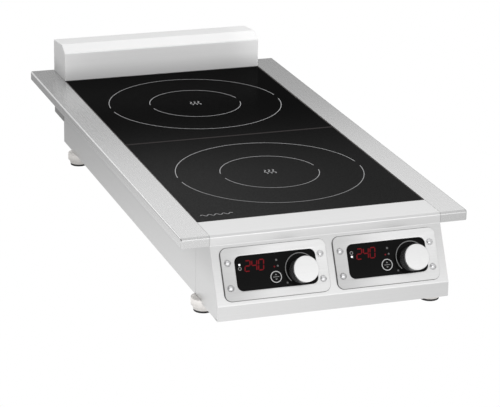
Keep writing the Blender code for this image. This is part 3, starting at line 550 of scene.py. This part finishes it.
def edges_rounded(mesh, radius, segments, chosen):
    """A mesh with the edges rounded whose two end points satisfy the test."""
    bm = bmesh.new()
    bm.from_mesh(mesh)
    edges = [e for e in bm.edges if chosen([v.co for v in e.verts])]
    bmesh.ops.bevel(bm, geom=edges, offset=radius, segments=segments, profile=0.5,
                    affect="EDGES")
    bm.to_mesh(mesh)
    bm.free()
    return mesh


def from_bmesh(bm, name):
    """A new mesh from a bmesh, which is freed."""
    mesh = bpy.data.meshes.new(name)
    bm.to_mesh(mesh)
    bm.free()
    return mesh


def box(name, low, high):
    """A plain block between two corners, as a blank for cuts and rounded edges."""
    low, high = Vector(low), Vector(high)
    bm = bmesh.new()
    place = Matrix.LocRotScale((low + high) / 2, None, high - low)
    bmesh.ops.create_cube(bm, size=1, matrix=place)
    return from_bmesh(bm, name)


def turned(name, profile, steps):
    """A turned solid: (radius, height) points from the top of the axis to its bottom."""
    bm = bmesh.new()
    rings = []
    for radius, height in profile:
        if radius < 1e-7:
            rings.append([bm.verts.new((0, 0, height))])
            continue
        angles = [2 * math.pi * i / steps for i in range(steps)]
        rings.append([bm.verts.new((radius * math.cos(a), radius * math.sin(a), height))
                      for a in angles])
    for upper, lower in zip(rings, rings[1:]):
        for i in range(steps):
            j = (i + 1) % steps
            corners = [upper[i % len(upper)], lower[i % len(lower)],
                       lower[j % len(lower)], upper[j % len(upper)]]
            bm.faces.new(list(dict.fromkeys(corners)))
    bmesh.ops.recalc_face_normals(bm, faces=bm.faces)
    return from_bmesh(bm, name)


def fillet(profile, radii, steps=5):
    """A path whose inner corners are rounded: one radius for each inner point."""
    path = [Vector(profile[0])]
    for before, corner, after, radius in zip(profile, profile[1:], profile[2:], radii):
        corner = Vector(corner)
        if radius <= 0:
            path.append(corner)
            continue
        back = (Vector(before) - corner).normalized()
        ahead = (Vector(after) - corner).normalized()
        half = back.angle(ahead) / 2
        centre = corner + (back + ahead).normalized() * (radius / math.sin(half))
        reach = radius / math.tan(half)
        first = (corner + back * reach - centre).normalized()
        last = (corner + ahead * reach - centre).normalized()
        path += [centre + first.slerp(last, i / steps) * radius for i in range(steps + 1)]
    path.append(Vector(profile[-1]))
    return path


def offset_path(points, distance):
    """A parallel path with mitred corners, moved to the left of the direction of travel."""
    points = [Vector(p) for p in points]
    normals = []
    for a, b in zip(points, points[1:]):
        along = (b - a).normalized()
        normals.append(Vector((-along.y, along.x)))
    moved = [points[0] + normals[0] * distance]
    for point, n1, n2 in zip(points[1:-1], normals, normals[1:]):
        moved.append(point + (n1 + n2) * (distance / (1 + n1.dot(n2))))
    moved.append(points[-1] + normals[-1] * distance)
    return moved


def folded_section(points, radii, thickness):
    """The closed outline of a folded sheet; a bend away from the inside gets the larger radius."""
    outer = fillet(points, radii, 8)
    signs = []
    for a, b, c in zip(points, points[1:], points[2:]):
        signs.append(1 if (Vector(b) - Vector(a)).cross(Vector(c) - Vector(b)) > 0 else -1)
    inner_radii = [max(0.2 * MM, r - s * thickness) for r, s in zip(radii, signs)]
    inner = fillet(offset_path(points, thickness), inner_radii, 8)
    return list(outer) + list(reversed(inner))


def prism_x(name, outline, low_x, high_x):
    """A prism along x whose outline is in y and z."""
    bm = bmesh.new()
    base = bm.faces.new([bm.verts.new((low_x, p[0], p[1])) for p in outline])
    grown = bmesh.ops.extrude_face_region(bm, geom=[base])["geom"]
    ends = [v for v in grown if isinstance(v, bmesh.types.BMVert)]
    bmesh.ops.translate(bm, verts=ends, vec=(high_x - low_x, 0, 0))
    bmesh.ops.recalc_face_normals(bm, faces=bm.faces)
    return from_bmesh(bm, name)


def arc(centre, radius, start, end, steps):
    """Points on an arc, with the angles in degrees."""
    angles = [math.radians(start + (end - start) * i / steps) for i in range(steps + 1)]
    return [(centre[0] + radius * math.cos(a), centre[1] + radius * math.sin(a)) for a in angles]


def circle(centre, radius, steps=48):
    """Points round a circle, without the first one again at the end."""
    return arc(centre, radius, 0, 360, steps)[:-1]


def rounded_rectangle(width, height, corner, centre=(0, 0), steps=8):
    """The outline of a rectangle with round corners."""
    points = []
    for index, (sx, sy) in enumerate(((1, 1), (-1, 1), (-1, -1), (1, -1))):
        middle = (centre[0] + sx * (width / 2 - corner), centre[1] + sy * (height / 2 - corner))
        points += arc(middle, corner, 90 * index, 90 * index + 90, steps)
    return points


def flat_plate(name, outlines, low, high, edge=0.0):
    """A plate from z = low to high in x and y with holes; edge rounds its rims and hole rims."""
    curve = bpy.data.curves.new(name, "CURVE")
    curve.dimensions = "2D"
    curve.fill_mode = "BOTH"
    curve.extrude = (high - low) / 2 - edge
    if edge:
        curve.bevel_depth = edge
        curve.bevel_resolution = 2
        curve.offset = -edge
    for outline in outlines:
        spline = curve.splines.new("POLY")
        spline.points.add(len(outline) - 1)
        for point, (x, y) in zip(spline.points, outline):
            point.co = (x, y, 0, 1)
        spline.use_cyclic_u = True
    mesh = clean(evaluated_mesh(staged(curve), name))
    mesh.transform(Matrix.Translation((0, 0, (low + high) / 2)))
    return mesh


def joined(name, meshes):
    """One mesh that holds several separate ones."""
    bm = bmesh.new()
    for mesh in meshes:
        bm.from_mesh(mesh)
    return from_bmesh(bm, name)


def ring_band(radius, width, steps, centre=(0, 0)):
    """The outline of a ring-shaped stroke."""
    ring = circle(centre, radius, steps)
    return band(ring + ring[:1], width)


def rounded_rim(radius, top, bend, steps):
    """Profile points of a turned piece's top edge, from its flat top to its side."""
    angles = [math.radians(90 * i / steps) for i in range(steps + 1)]
    return [(radius - bend + bend * math.sin(a), top - bend + bend * math.cos(a)) for a in angles]


def band(points, width):
    """The closed outline of a stroke of this width along open points."""
    points = [Vector(p) for p in points]
    left, right = [], []
    for i, point in enumerate(points):
        along = (points[min(i + 1, len(points) - 1)] - points[max(i - 1, 0)]).normalized()
        side = Vector((-along.y, along.x)) * (width / 2)
        left.append(tuple(point + side))
        right.append(tuple(point - side))
    return left + right[::-1]


# ---------------------------------------------------------------- casing

def fascia_points():
    """The front sheet's outer line in y and z: deck strip, lip, slope, apron and bottom flange."""
    back = FASCIA_HIGH.y
    front = FASCIA_LOW.y
    bottom = FASCIA_LOW.z
    return [(back, DECK_Z), (LIP_Y, DECK_Z), (LIP_Y, DECK_Z - RIM), (front, SLOPE_BOTTOM),
            (front, bottom), (front + RIM, bottom)]


def make_fascia():
    """The folded front sheet, with a hole behind each window."""
    section = folded_section(fascia_points(), FASCIA_BENDS, SHEET)
    sheet = prism_x("front_fascia_sheet", section, -HALF_CORE, HALF_CORE)
    sheet = edges_rounded(sheet, FASCIA_EDGE, 2, lambda ends: all(
        v.y > FASCIA_HIGH.y - MM and v.z > DECK_Z - 0.1 * MM for v in ends))
    cuts = []
    for side in ("left", "right"):
        centre = on_panel(f"overlay_{side}")
        middle = Vector((centre.x, centre.y, 0))
        cut = box("cut", middle - HALF_PANEL_HOLE, middle + HALF_PANEL_HOLE)
        cut.transform(PANEL)
        cuts.append(cut)
    sheet = cut_out(sheet, cuts)
    piece("front_fascia_sheet", clean(sheet), "fascia",
          replaces=("front_fascia",), angle=25)


def make_ledges():
    """Each side ledge: a folded channel, rounded along its front top edge and its outer face."""
    for name in ("wing_left", "wing_right"):
        low, high = (Vector(c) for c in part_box(name))
        side = -1 if low.x < 0 else 1
        outer_x = low.x if side < 0 else high.x
        shell = edges_rounded(box("ledge", low, high), LEDGE_FRONT_BEND, 8, lambda ends: all(
            v.y < low.y + MM and v.z > high.z - MM for v in ends))
        shell = edges_rounded(shell, LEDGE_OUTER_BEND, 5, lambda ends: all(
            abs(v.x - outer_x) < 0.1 * MM for v in ends))
        hollow_low = low + Vector((SHEET, LEDGE_FRONT_WALL, SHEET))
        hollow_high = high - Vector((SHEET, SHEET, SHEET))
        if side < 0:
            hollow_high.x = high.x + MM
        else:
            hollow_low.x = low.x - MM
        shell = cut_out(shell, [box("hollow", hollow_low, hollow_high)])
        piece(f"{name}_ledge", clean(shell), "ledge", replaces=(name,),
              angle=25)


def make_side_plates():
    """The body's side panels, with softened sheet edges."""
    for side in ("left", "right"):
        low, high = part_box(f"side_panel_{side}")
        plate = bevelled(box("side", low, high), PLATE_EDGE)
        piece(f"side_panel_{side}_sheet", plate, "side",
              replaces=(f"side_panel_{side}",))


def make_rear_hood():
    """The upstand and exhaust duct: folded front and top, welded and ground side plates."""
    front_low = HOOD_LOW.y
    back = HOOD_HIGH.y
    face_top = DECK_Z + UPSTAND_FACE
    ridge = (front_low + RIDGE_BACK, HOOD_HIGH.z)
    duct_front = Vector(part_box("body_rear_wall")[1]).y + GAP
    outline = fillet([(duct_front, DECK_Z + GAP), (front_low, DECK_Z + GAP), (front_low, face_top),
                      ridge, (back, REAR_HIGH.z + GAP), (back, HOOD_LOW.z)],
                     HOOD_BENDS, 8)
    outline.append(Vector((duct_front, HOOD_LOW.z)))
    shell = prism_x("rear_hood_shell", outline, HOOD_LOW.x, HOOD_HIGH.x)
    bm = bmesh.new()
    bm.from_mesh(shell)
    rims = []
    for edge in bm.edges:
        ends = [v.co for v in edge.verts]
        on_side = abs(ends[0].x - ends[1].x) < MM and abs(ends[0].x) > HALF_CORE - MM
        above = min(v.z for v in ends) > DECK_Z
        at_back = all(abs(v.y - back) < 0.1 * MM for v in ends)
        at_foot = all(abs(v.z - DECK_Z - GAP) < 0.1 * MM for v in ends)
        if on_side and above and not at_back and not at_foot:
            rims.append(edge)
    bmesh.ops.bevel(bm, geom=rims, offset=HOOD_RIM, segments=4, profile=0.5, affect="EDGES")
    bm.to_mesh(shell)
    bm.free()
    wall = HOOD_WALL
    hollow = [(duct_front - MM, HOOD_LOW.z - MM), (duct_front - MM, DECK_Z - MM),
              (front_low + wall, DECK_Z - MM), (front_low + wall, face_top - MM),
              (ridge[0] + 0.5 * MM, ridge[1] - wall), (back + MM, REAR_HIGH.z - wall),
              (back + MM, HOOD_LOW.z - MM)]
    inside = prism_x("hollow", hollow, HOOD_LOW.x + SHEET, HOOD_HIGH.x - SHEET)
    shell = cut_out(shell, [inside])
    piece("rear_hood_shell", clean(shell), "upstand",
          replaces=("rear_hood",), angle=25)


def make_rear_panel():
    """The back sheet with its round-ended outlet slots."""
    width = REAR_HIGH.x - REAR_LOW.x
    height = REAR_HIGH.z - REAR_LOW.z
    middle = ((REAR_HIGH.x + REAR_LOW.x) / 2, (REAR_HIGH.z + REAR_LOW.z) / 2)
    outlines = [rounded_rectangle(width, height, 1.5 * MM, middle)]
    corner = OUTLET_WIDTH / 2 - 0.01 * MM
    for bank in OUTLET_BANKS:
        for row in range(OUTLET_ROWS):
            z = DECK_Z + OUTLET_LOWEST + OUTLET_PITCH * row
            outlines.append(rounded_rectangle(OUTLET_LENGTH, OUTLET_WIDTH, corner, (bank, z), 6))
    plate = flat_plate("rear_panel_sheet", outlines, -SHEET / 2, SHEET / 2, 0.2 * MM)
    upright = Matrix.Rotation(math.pi / 2, 4, "X")
    place = Matrix.Translation((0, (REAR_LOW.y + REAR_HIGH.y) / 2, 0)) @ upright
    piece("rear_panel_sheet", plate, "back", replaces=("rear_panel",),
          place=place)


# ---------------------------------------------------------------- cooking surface

def make_glass():
    """Both glass plates, and the dull bead that fills the joint between them."""
    for name in ("glass_front", "glass_rear"):
        low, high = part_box(name)
        plate = bevelled(box(name, low, high), PLATE_EDGE)
        piece(f"{name}_plate", plate, "glass", replaces=(name,))
    seam_y = (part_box("glass_front")[1][1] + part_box("glass_rear")[0][1]) / 2
    bead = rounded_rectangle(GLASS_HIGH.x - GLASS_LOW.x, JOINT_WIDTH, 0.4 * MM)
    ink("glass_joint_bead", [bead], "joint", place=Matrix.Translation((0, seam_y, DECK_Z)),
        slot="silicone")


def ink(name, outlines, material, z=0.0, place=None, body="body", slot="black_glass"):
    """Printed shapes as one thin raised layer."""
    shapes = [flat_plate("ink", [outline], z, z + INK) for outline in outlines]
    piece(name, joined(name, shapes), material, body=body, place=place)


def make_rings():
    """Each zone's two broken rings, and a plain mark of three waves in its middle."""
    for name, centre_y in ZONE_Y.items():
        outlines = []
        for radius in RINGS:
            gap = math.degrees(RING_BREAK / 2 / radius)
            for start in (0, 180):
                stroke = arc((0, 0), radius, start + gap, start + 180 - gap, 96)
                outlines.append(band(stroke, RING_LINE))
        place = Matrix.Translation((0, centre_y, DECK_Z))
        ink(f"zone_rings_{name}", outlines, "ring_print", place=place)
        waves = []
        for column in CENTRE_MARK_COLUMNS:
            wave = [(column + 1.6 * MM * math.sin(2 * math.pi * i / 16), (i - 12) * 0.7 * MM)
                    for i in range(25)]
            waves.append(band(wave, MARK_LINE))
        ink(f"zone_centre_mark_{name}", waves, "ring_print", place=place)


def make_deck_mark():
    """A small generic wavy mark near the front left corner of the glass."""
    low_x, high_x = DECK_MARK_ENDS
    middle_y = GLASS_LOW.y + DECK_MARK_INSET
    steps = 72
    wave = [(low_x + (high_x - low_x) * i / steps,
             middle_y + 2.6 * MM * math.sin(2 * math.pi * DECK_MARK_WAVES * i / steps))
            for i in range(steps + 1)]
    place = Matrix.Translation((0, 0, DECK_Z))
    ink("deck_mark", [band(wave, MARK_LINE)], "ring_print", place=place)


# ---------------------------------------------------------------- control modules

def make_bezel(side):
    """A module's steel plate with its dished screw seats, and the seal under its edge, dark as a painted shadow
    line round the plate.
    """
    centre = on_panel(f"bezel_{side}")
    window = on_panel(f"overlay_{side}")
    shift = (window.x - centre.x, 0)
    outlines = [rounded_rectangle(*BEZEL, BEZEL_CORNER, steps=12),
                rounded_rectangle(*WINDOW, WINDOW_CORNER, shift, 12)]
    top = BEZEL_TOP
    floor = top - DISH_DEPTH
    plate = flat_plate("bezel", outlines, GAP, top, BEZEL_EDGE)
    dishes = []
    for number in range(1, 5):
        screw = on_panel(f"bezel_screw_{side}_{number}") - centre
        dish = turned("dish", [(0, top + MM), (DISH_RIM + MM, top + MM), (DISH_FLOOR, floor),
                               (SCREW_HOLE, floor), (SCREW_HOLE, -MM), (0, -MM)], 48)
        dish.transform(Matrix.Translation((screw.x, screw.y, 0)))
        dishes.append(dish)
    plate = cut_out(plate, dishes)
    place = panel_place(centre)
    piece(f"bezel_{side}_plate", plate, f"bezel_{side}",
          replaces=(f"bezel_{side}",), place=place)
    # The seal's dark rim beyond the plate's edge stands for the plate's shadow: a painted shadow line.
    seal_shadow_line = [rounded_rectangle(BEZEL[0] + 2 * SEAL_SHADOW_EDGE, BEZEL[1] + 2 * SEAL_SHADOW_EDGE,
                              BEZEL_CORNER + SEAL_SHADOW_EDGE, steps=12),
            rounded_rectangle(WINDOW[0] + SEAL_MARGIN, WINDOW[1] + SEAL_MARGIN, WINDOW_CORNER,
                              shift, 12)]
    piece(f"bezel_{side}_seal", flat_plate("seal_shadow_line", seal_shadow_line, SEAL_SLACK, GAP - SEAL_SLACK), "seal_shadow_line",
          place=place)


def make_screw(side, number):
    """A plain domed head that sits in its dish."""
    node = f"bezel_screw_{side}_{number}"
    centre = on_panel(node)
    seat = BEZEL_TOP - DISH_DEPTH + 0.05 * MM
    angles = [math.radians(6 * i) for i in range(1, 16)]
    dome = [(SCREW_HEAD * math.sin(a), seat + SCREW_RIM + (SCREW_RISE - SCREW_RIM) * math.cos(a))
            for a in angles]
    profile = [(0, seat + SCREW_RISE)] + dome
    profile += [(SCREW_HEAD, seat), (SCREW_SHANK, seat), (SCREW_SHANK, -SCREW_REACH),
                (0, -SCREW_REACH)]
    head = turned("screw", profile, 48)
    place = panel_place(centre)
    piece(f"{node}_head", head, "screw", replaces=(node,), place=place)


def segment_outlines(digit, origin):
    """Seven-segment strokes with pointed ends, leaning a little to the right."""
    w, h = DIGIT
    ends = {"a": ((0, h), (w, h)), "b": ((w, h), (w, h / 2)), "c": ((w, h / 2), (w, 0)),
            "d": ((0, 0), (w, 0)), "e": ((0, h / 2), (0, 0)), "f": ((0, h), (0, h / 2)),
            "g": ((0, h / 2), (w, h / 2))}
    outlines = []
    for letter in SEGMENTS[digit]:
        start, end = (Vector(p) for p in ends[letter])
        along = (end - start).normalized()
        side = Vector((-along.y, along.x)) * STROKE / 2
        a, b = start + along * 0.35 * MM, end - along * 0.35 * MM
        inset = along * STROKE / 2
        shape = [a, a + inset - side, b - inset - side, b, b - inset + side, a + inset + side]
        outlines.append([(origin[0] + p.x + SLANT * p.y, origin[1] + p.y) for p in shape])
    return outlines


def make_window(side):
    """The black window with everything printed on it and its lamps and figures."""
    window = on_panel(f"overlay_{side}")
    key = on_panel(f"key_{side}")
    shaft = on_panel(f"encoder_shaft_{side}")
    top = WINDOW_TOP
    place = panel_place(window)
    key_at = (key.x - window.x, key.y - window.y)
    knob_at = (shaft.x - window.x, shaft.y - window.y)
    outlines = [rounded_rectangle(WINDOW[0] - 2 * GAP, WINDOW[1] - 2 * GAP, WINDOW_CORNER - GAP,
                                  steps=12),
                circle(key_at, KEY_HOLE), circle(knob_at, SHAFT_HOLE)]
    plate = flat_plate("window", outlines, -0.5 * MM, top, 0.25 * MM)
    piece(f"overlay_{side}_window", plate, "window",
          replaces=(f"overlay_{side}",), place=place)

    digits = []
    for i, digit in enumerate("240"):
        digits += segment_outlines(digit, (DIGITS_AT[0] + i * DIGIT_PITCH, DIGITS_AT[1]))
    ink(f"display_figures_{side}", digits, "red_segment", top, place, slot="black_gloss")

    dial = (knob_at[0] - 0.5 * MM, knob_at[1] + 3.2 * MM)
    strokes = [band(arc(dial, DIAL_RADIUS, 225, 35, 64), DIAL_LINE)]
    ink(f"dial_arc_{side}", strokes, "arc_print", top, place, slot="black_gloss")

    # The lamp of the module's own zone is lit: the upper one at the left, the lower at the right.
    dark_y, lit_y = ZONE_LAMP_ROWS if side == "left" else ZONE_LAMP_ROWS[::-1]
    ink(f"zone_lamp_{side}", [circle((ZONE_LAMP_X, lit_y), 1.4 * MM, 24)], "white_lamp", top,
        place, slot="black_gloss")
    ink(f"zone_mark_{side}", [ring_band(1.9 * MM, 0.9 * MM, 32, (ZONE_LAMP_X, dark_y))],
        "arc_print", top, place, slot="black_gloss")
    ink(f"red_lamp_{side}", [circle(*RED_LAMP, 20)], "red_lamp", top, place, slot="black_gloss")
    dots = [circle(spot, radius, 20) for spot, radius in SMALL_MARKS]
    ink(f"small_marks_{side}", dots, "dim_print", top, place, slot="black_gloss")


def make_key(side):
    """The round key with a printed ring, a bar and two small arrowheads, all on the key's body."""
    node = f"key_{side}"
    centre = on_panel(node)
    top = WINDOW_TOP
    place = panel_place(centre)
    stem_radius, stem_end = KEY_STEM
    profile = [(0, top)] + rounded_rim(KEY_RADIUS, top, 0.15 * MM, 6)
    profile += [(KEY_RADIUS, KEY_BACK), (stem_radius, KEY_BACK), (stem_radius, stem_end),
                (0, stem_end)]
    piece(f"key_{side}_cap", turned("key", profile, 64), "window", body=node,
          replaces=(node,), place=place)
    ink(f"key_{side}_ring", [ring_band(7.2 * MM, MM, 64)], "panel_print", top, place, node,
        "black_gloss")
    marks = [band([(-4.2 * MM, 0), (4.2 * MM, 0)], 0.8 * MM)]
    for up in (1, -1):
        marks.append([(-1.6 * MM, up * 2.3 * MM), (1.6 * MM, up * 2.3 * MM), (0, up * 4.1 * MM)])
    ink(f"key_{side}_print", marks, "arc_print", top, place, node, "black_gloss")


def fluted(mesh):
    """The knob body with fine grip flutes pressed into its side above the base."""
    bm = bmesh.new()
    bm.from_mesh(mesh)
    for v in bm.verts:
        if math.hypot(v.co.x, v.co.y) > 16 * MM and v.co.z > KNOB_BASE + 0.5 * MM:
            turn = math.atan2(v.co.y, v.co.x)
            inward = 1 - FLUTE_DEPTH * max(0.0, math.cos(FLUTES * turn)) ** 2
            v.co.x *= inward
            v.co.y *= inward
    bm.to_mesh(mesh)
    bm.free()
    return mesh


def make_knob(side):
    """A black knob body under a satin silver cap."""
    body = f"knob_{side}"
    centre = on_panel(f"encoder_shaft_{side}")
    place = panel_place(centre)
    body_profile = [(0, 22.1 * MM), (12.3 * MM, 22.1 * MM), (12.3 * MM, KNOB_COLLAR),
                    (15.9 * MM, KNOB_COLLAR), (16.3 * MM, KNOB_COLLAR - 0.4 * MM),
                    (16.8 * MM, KNOB_BASE + 1.2 * MM), (16.8 * MM, KNOB_BASE + 0.4 * MM),
                    (16.4 * MM, KNOB_BASE), (3.5 * MM, KNOB_BASE), (3.5 * MM, 11.6 * MM),
                    (0, 11.6 * MM)]
    piece(f"knob_{side}_body", fluted(turned("knob", body_profile, 144)), "knob", body=body,
          replaces=(f"knob_body_{side}",), place=place)
    cap_profile = [(0, CAP_TOP)] + rounded_rim(CAP_RADIUS, CAP_TOP, 0.8 * MM, 9)
    cap_profile += [(CAP_RADIUS, 20.9 * MM), (CAP_RADIUS - 0.3 * MM, 20.6 * MM),
                    (12.6 * MM, 20.6 * MM), (12.6 * MM, 22.4 * MM), (0, 22.4 * MM)]
    piece(f"knob_{side}_cap", turned("cap", cap_profile, 128), "cap", body=body,
          replaces=(f"knob_cap_{side}",), place=place)


# ---------------------------------------------------------------- feet

def make_foot(name):
    """A plated collar over a tapered neck, and a rubber pad with rounded edges."""
    cup_node, pad_node, body = f"foot_cup_{name}", f"foot_pad_{name}", f"foot_{name}"
    cup_low, cup_high = (Vector(c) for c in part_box(cup_node))
    pad_low, pad_high = (Vector(c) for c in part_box(pad_node))
    middle = (cup_low + cup_high) / 2
    radius = (cup_high.x - cup_low.x) / 2
    base = (pad_high.x - pad_low.x) / 2 + 0.4 * MM
    stud = STUD_RADIUS
    top = cup_high.z - STUD_LENGTH
    collar_low = top - COLLAR_HEIGHT
    neck = base + 1.1 * MM
    outline = fillet([(stud, top), (radius, top), (radius, collar_low), (neck, collar_low),
                      (base, cup_low.z), (0, cup_low.z)], [1 * MM, 1.2 * MM, 0.4 * MM, 0.8 * MM], 6)
    profile = [(0, cup_high.z), (stud - 0.5 * MM, cup_high.z), (stud, cup_high.z - 0.5 * MM)]
    profile += [tuple(p) for p in outline]
    place = Matrix.Translation((middle.x, middle.y, 0))
    piece(f"foot_{name}_cup", turned("cup", profile, 64), "chrome", body=body,
          replaces=(cup_node,), place=place)
    rim = base - 0.4 * MM
    pad_outline = fillet([(0, pad_high.z), (rim, pad_high.z), (rim, pad_low.z), (0, pad_low.z)],
                         [0.4 * MM, 0.9 * MM], 5)
    profile = [tuple(p) for p in pad_outline]
    piece(f"foot_{name}_pad", turned("pad", profile, 64), "rubber", body=body,
          replaces=(pad_node,), place=place)


# ---------------------------------------------------------------- carried-over CAD nodes

def finish_cad_nodes():
    """Every CAD node gets the procedural finish of its slot."""
    slots = {row["node"]: row["material_slot"] for row in frame["record"]["subparts"]}
    for name, item in frame["nodes"].items():
        material = MATERIALS[SLOT_MATERIAL[slots[name]]]
        for index in range(len(item.material_slots)):
            item.material_slots[index].material = material
        if not item.material_slots:
            item.data.materials.append(material)


# ---------------------------------------------------------------- studio

def make_floor():
    """A plain white floor that glows evenly for the lens and unevenly for the steel above it."""
    bm = bmesh.new()
    bmesh.ops.create_grid(bm, x_segments=1, y_segments=1, size=30)
    floor = bpy.data.objects.new("studio_floor", from_bmesh(bm, "studio_floor"))
    bpy.context.scene.collection.objects.link(floor)
    nodes = Nodes("pale_floor", (0.0, 0.0, 0.0), 1.0, Specular_IOR_Level=0.0,
                  Emission_Color=(1.0, 1.0, 1.0, 1.0))
    place = nodes.add("ShaderNodeTexCoord")
    axes = nodes.add("ShaderNodeSeparateXYZ")
    nodes.link(place, "Object", axes, "Vector")
    depth = nodes.span(axes, "Y", -0.4, 0.75, FLOOR_NEAR, FLOOR_FAR)
    across = nodes.span(axes, "X", -0.35, 0.5, 1.12, 0.8)
    glow = nodes.add("ShaderNodeMath", operation="MULTIPLY")
    nodes.link(depth, "Result", glow, 0)
    nodes.link(across, "Result", glow, 1)
    path = nodes.add("ShaderNodeLightPath")
    seen = nodes.add("ShaderNodeMix", data_type="FLOAT")
    nodes.link(path, "Is Camera Ray", seen, "Factor")
    nodes.link(glow, "Value", seen, "A")
    seen.inputs["B"].default_value = 1.0
    nodes.link(seen, "Result", nodes.shader, "Emission Strength")
    floor.data.materials.append(nodes.material)


def make_world():
    """A tent: dark at the left, dim low at the back, brighter above and in front.

    The lens itself sees an even white.
    """
    world = bpy.data.worlds.new("studio")
    world.use_nodes = True
    tree = world.node_tree
    place = tree.nodes.new("ShaderNodeTexCoord")
    axes = tree.nodes.new("ShaderNodeSeparateXYZ")
    tree.links.new(place.outputs["Generated"], axes.inputs["Vector"])

    def span(output, start, end, low, high):
        node = tree.nodes.new("ShaderNodeMapRange")
        node.interpolation_type = "SMOOTHSTEP"
        for socket, value in zip(("From Min", "From Max", "To Min", "To Max"),
                                 (start, end, low, high)):
            node.inputs[socket].default_value = value
        tree.links.new(axes.outputs[output], node.inputs["Value"])
        return node.outputs["Result"]

    def mix(factor, a, b):
        node = tree.nodes.new("ShaderNodeMix")
        node.data_type = "FLOAT"
        tree.links.new(factor, node.inputs["Factor"])
        for value, socket in ((a, node.inputs["A"]), (b, node.inputs["B"])):
            if isinstance(value, float):
                socket.default_value = value
            else:
                tree.links.new(value, socket)
        return node.outputs["Result"]

    back = span("Z", 0.2, 0.5, WORLD_BACK, WORLD_HIGH)
    level = mix(span("Y", -0.3, 0.3, 0.0, 1.0), WORLD_FRONT, back)
    level = mix(span("X", -0.85, -0.55, 0.0, 1.0), WORLD_LEFT, level)
    level = mix(span("Z", 0.6, 0.95, 0.0, 1.0), level, WORLD_TOP)
    path = tree.nodes.new("ShaderNodeLightPath")
    seen = mix(path.outputs["Is Camera Ray"], level, 1.0)
    tree.links.new(seen, tree.nodes["Background"].inputs["Strength"])
    tree.nodes["Background"].inputs["Color"].default_value = (1.0, 1.0, 1.0, 1.0)
    bpy.context.scene.world = world


def area_light(name, place, target, size, brightness):
    """A soft rectangular light of even brightness that the lens doesn't see."""
    data = bpy.data.lights.new(name, "AREA")
    data.shape = "RECTANGLE"
    data.size, data.size_y = size
    data.energy = brightness * math.pi * size[0] * size[1]
    light = bpy.data.objects.new(name, data)
    bpy.context.scene.collection.objects.link(light)
    light.location = place
    aim = Vector(target) - Vector(place)
    light.rotation_euler = aim.to_track_quat("-Z", "Y").to_euler()
    light.visible_camera = False


def make_lights():
    """Soft boxes behind for the deck and the left edges, in front for the panel, over the hood."""
    area_light("back_softbox", (0.5, 0.75, 0.87), (0.5, 0, 0.71), (1.2, 0.86), 0.75)
    area_light("edge_softbox", (-0.62, 1.0, 0.42), (-0.35, 0.0, 0.2), (1.0, 0.8), 0.6)
    area_light("corner_softbox", (-0.68, 0.97, 0.62), (-0.2, -0.3, 0.12), (0.4, 0.3), 1.6)
    area_light("front_softbox", (0.0, -1.05, 0.25), (0.0, 0, 0.2), (1.1, 0.36), 1.0)
    area_light("hood_softbox", (0.05, -0.1, 0.42), (0.02, 0.36, 0.14), (0.8, 0.25), 1.95)


def make_camera():
    """A long lens from the front left and above."""
    data = bpy.data.cameras.new("camera")
    data.lens = LENS
    data.sensor_width = 36.0
    camera = bpy.data.objects.new("camera", data)
    bpy.context.scene.collection.objects.link(camera)
    yaw, pitch, roll = (math.radians(a) for a in (CAMERA_YAW, CAMERA_PITCH, CAMERA_ROLL))
    turn = (Matrix.Rotation(-yaw, 4, "Z") @ Matrix.Rotation(math.pi / 2 - pitch, 4, "X")
            @ Matrix.Rotation(roll, 4, "Z"))
    deck_front = Vector((0, FASCIA_HIGH.y + GAP, DECK_Z))
    camera.matrix_world = Matrix.Translation(deck_front + CAMERA_PLACE) @ turn
    bpy.context.scene.camera = camera


def build():
    """Makes every piece, then the studio round them."""
    finish_cad_nodes()
    make_fascia()
    make_ledges()
    make_side_plates()
    make_rear_hood()
    make_rear_panel()
    make_glass()
    make_rings()
    make_deck_mark()
    for side in ("left", "right"):
        make_bezel(side)
        for number in range(1, 5):
            make_screw(side, number)
        make_window(side)
        make_key(side)
        make_knob(side)
    for name in ("front_left", "front_right", "rear_left", "rear_right"):
        make_foot(name)
    make_floor()
    make_world()
    make_lights()
    make_camera()
    bpy.context.scene.view_settings.view_transform = "Standard"


build()
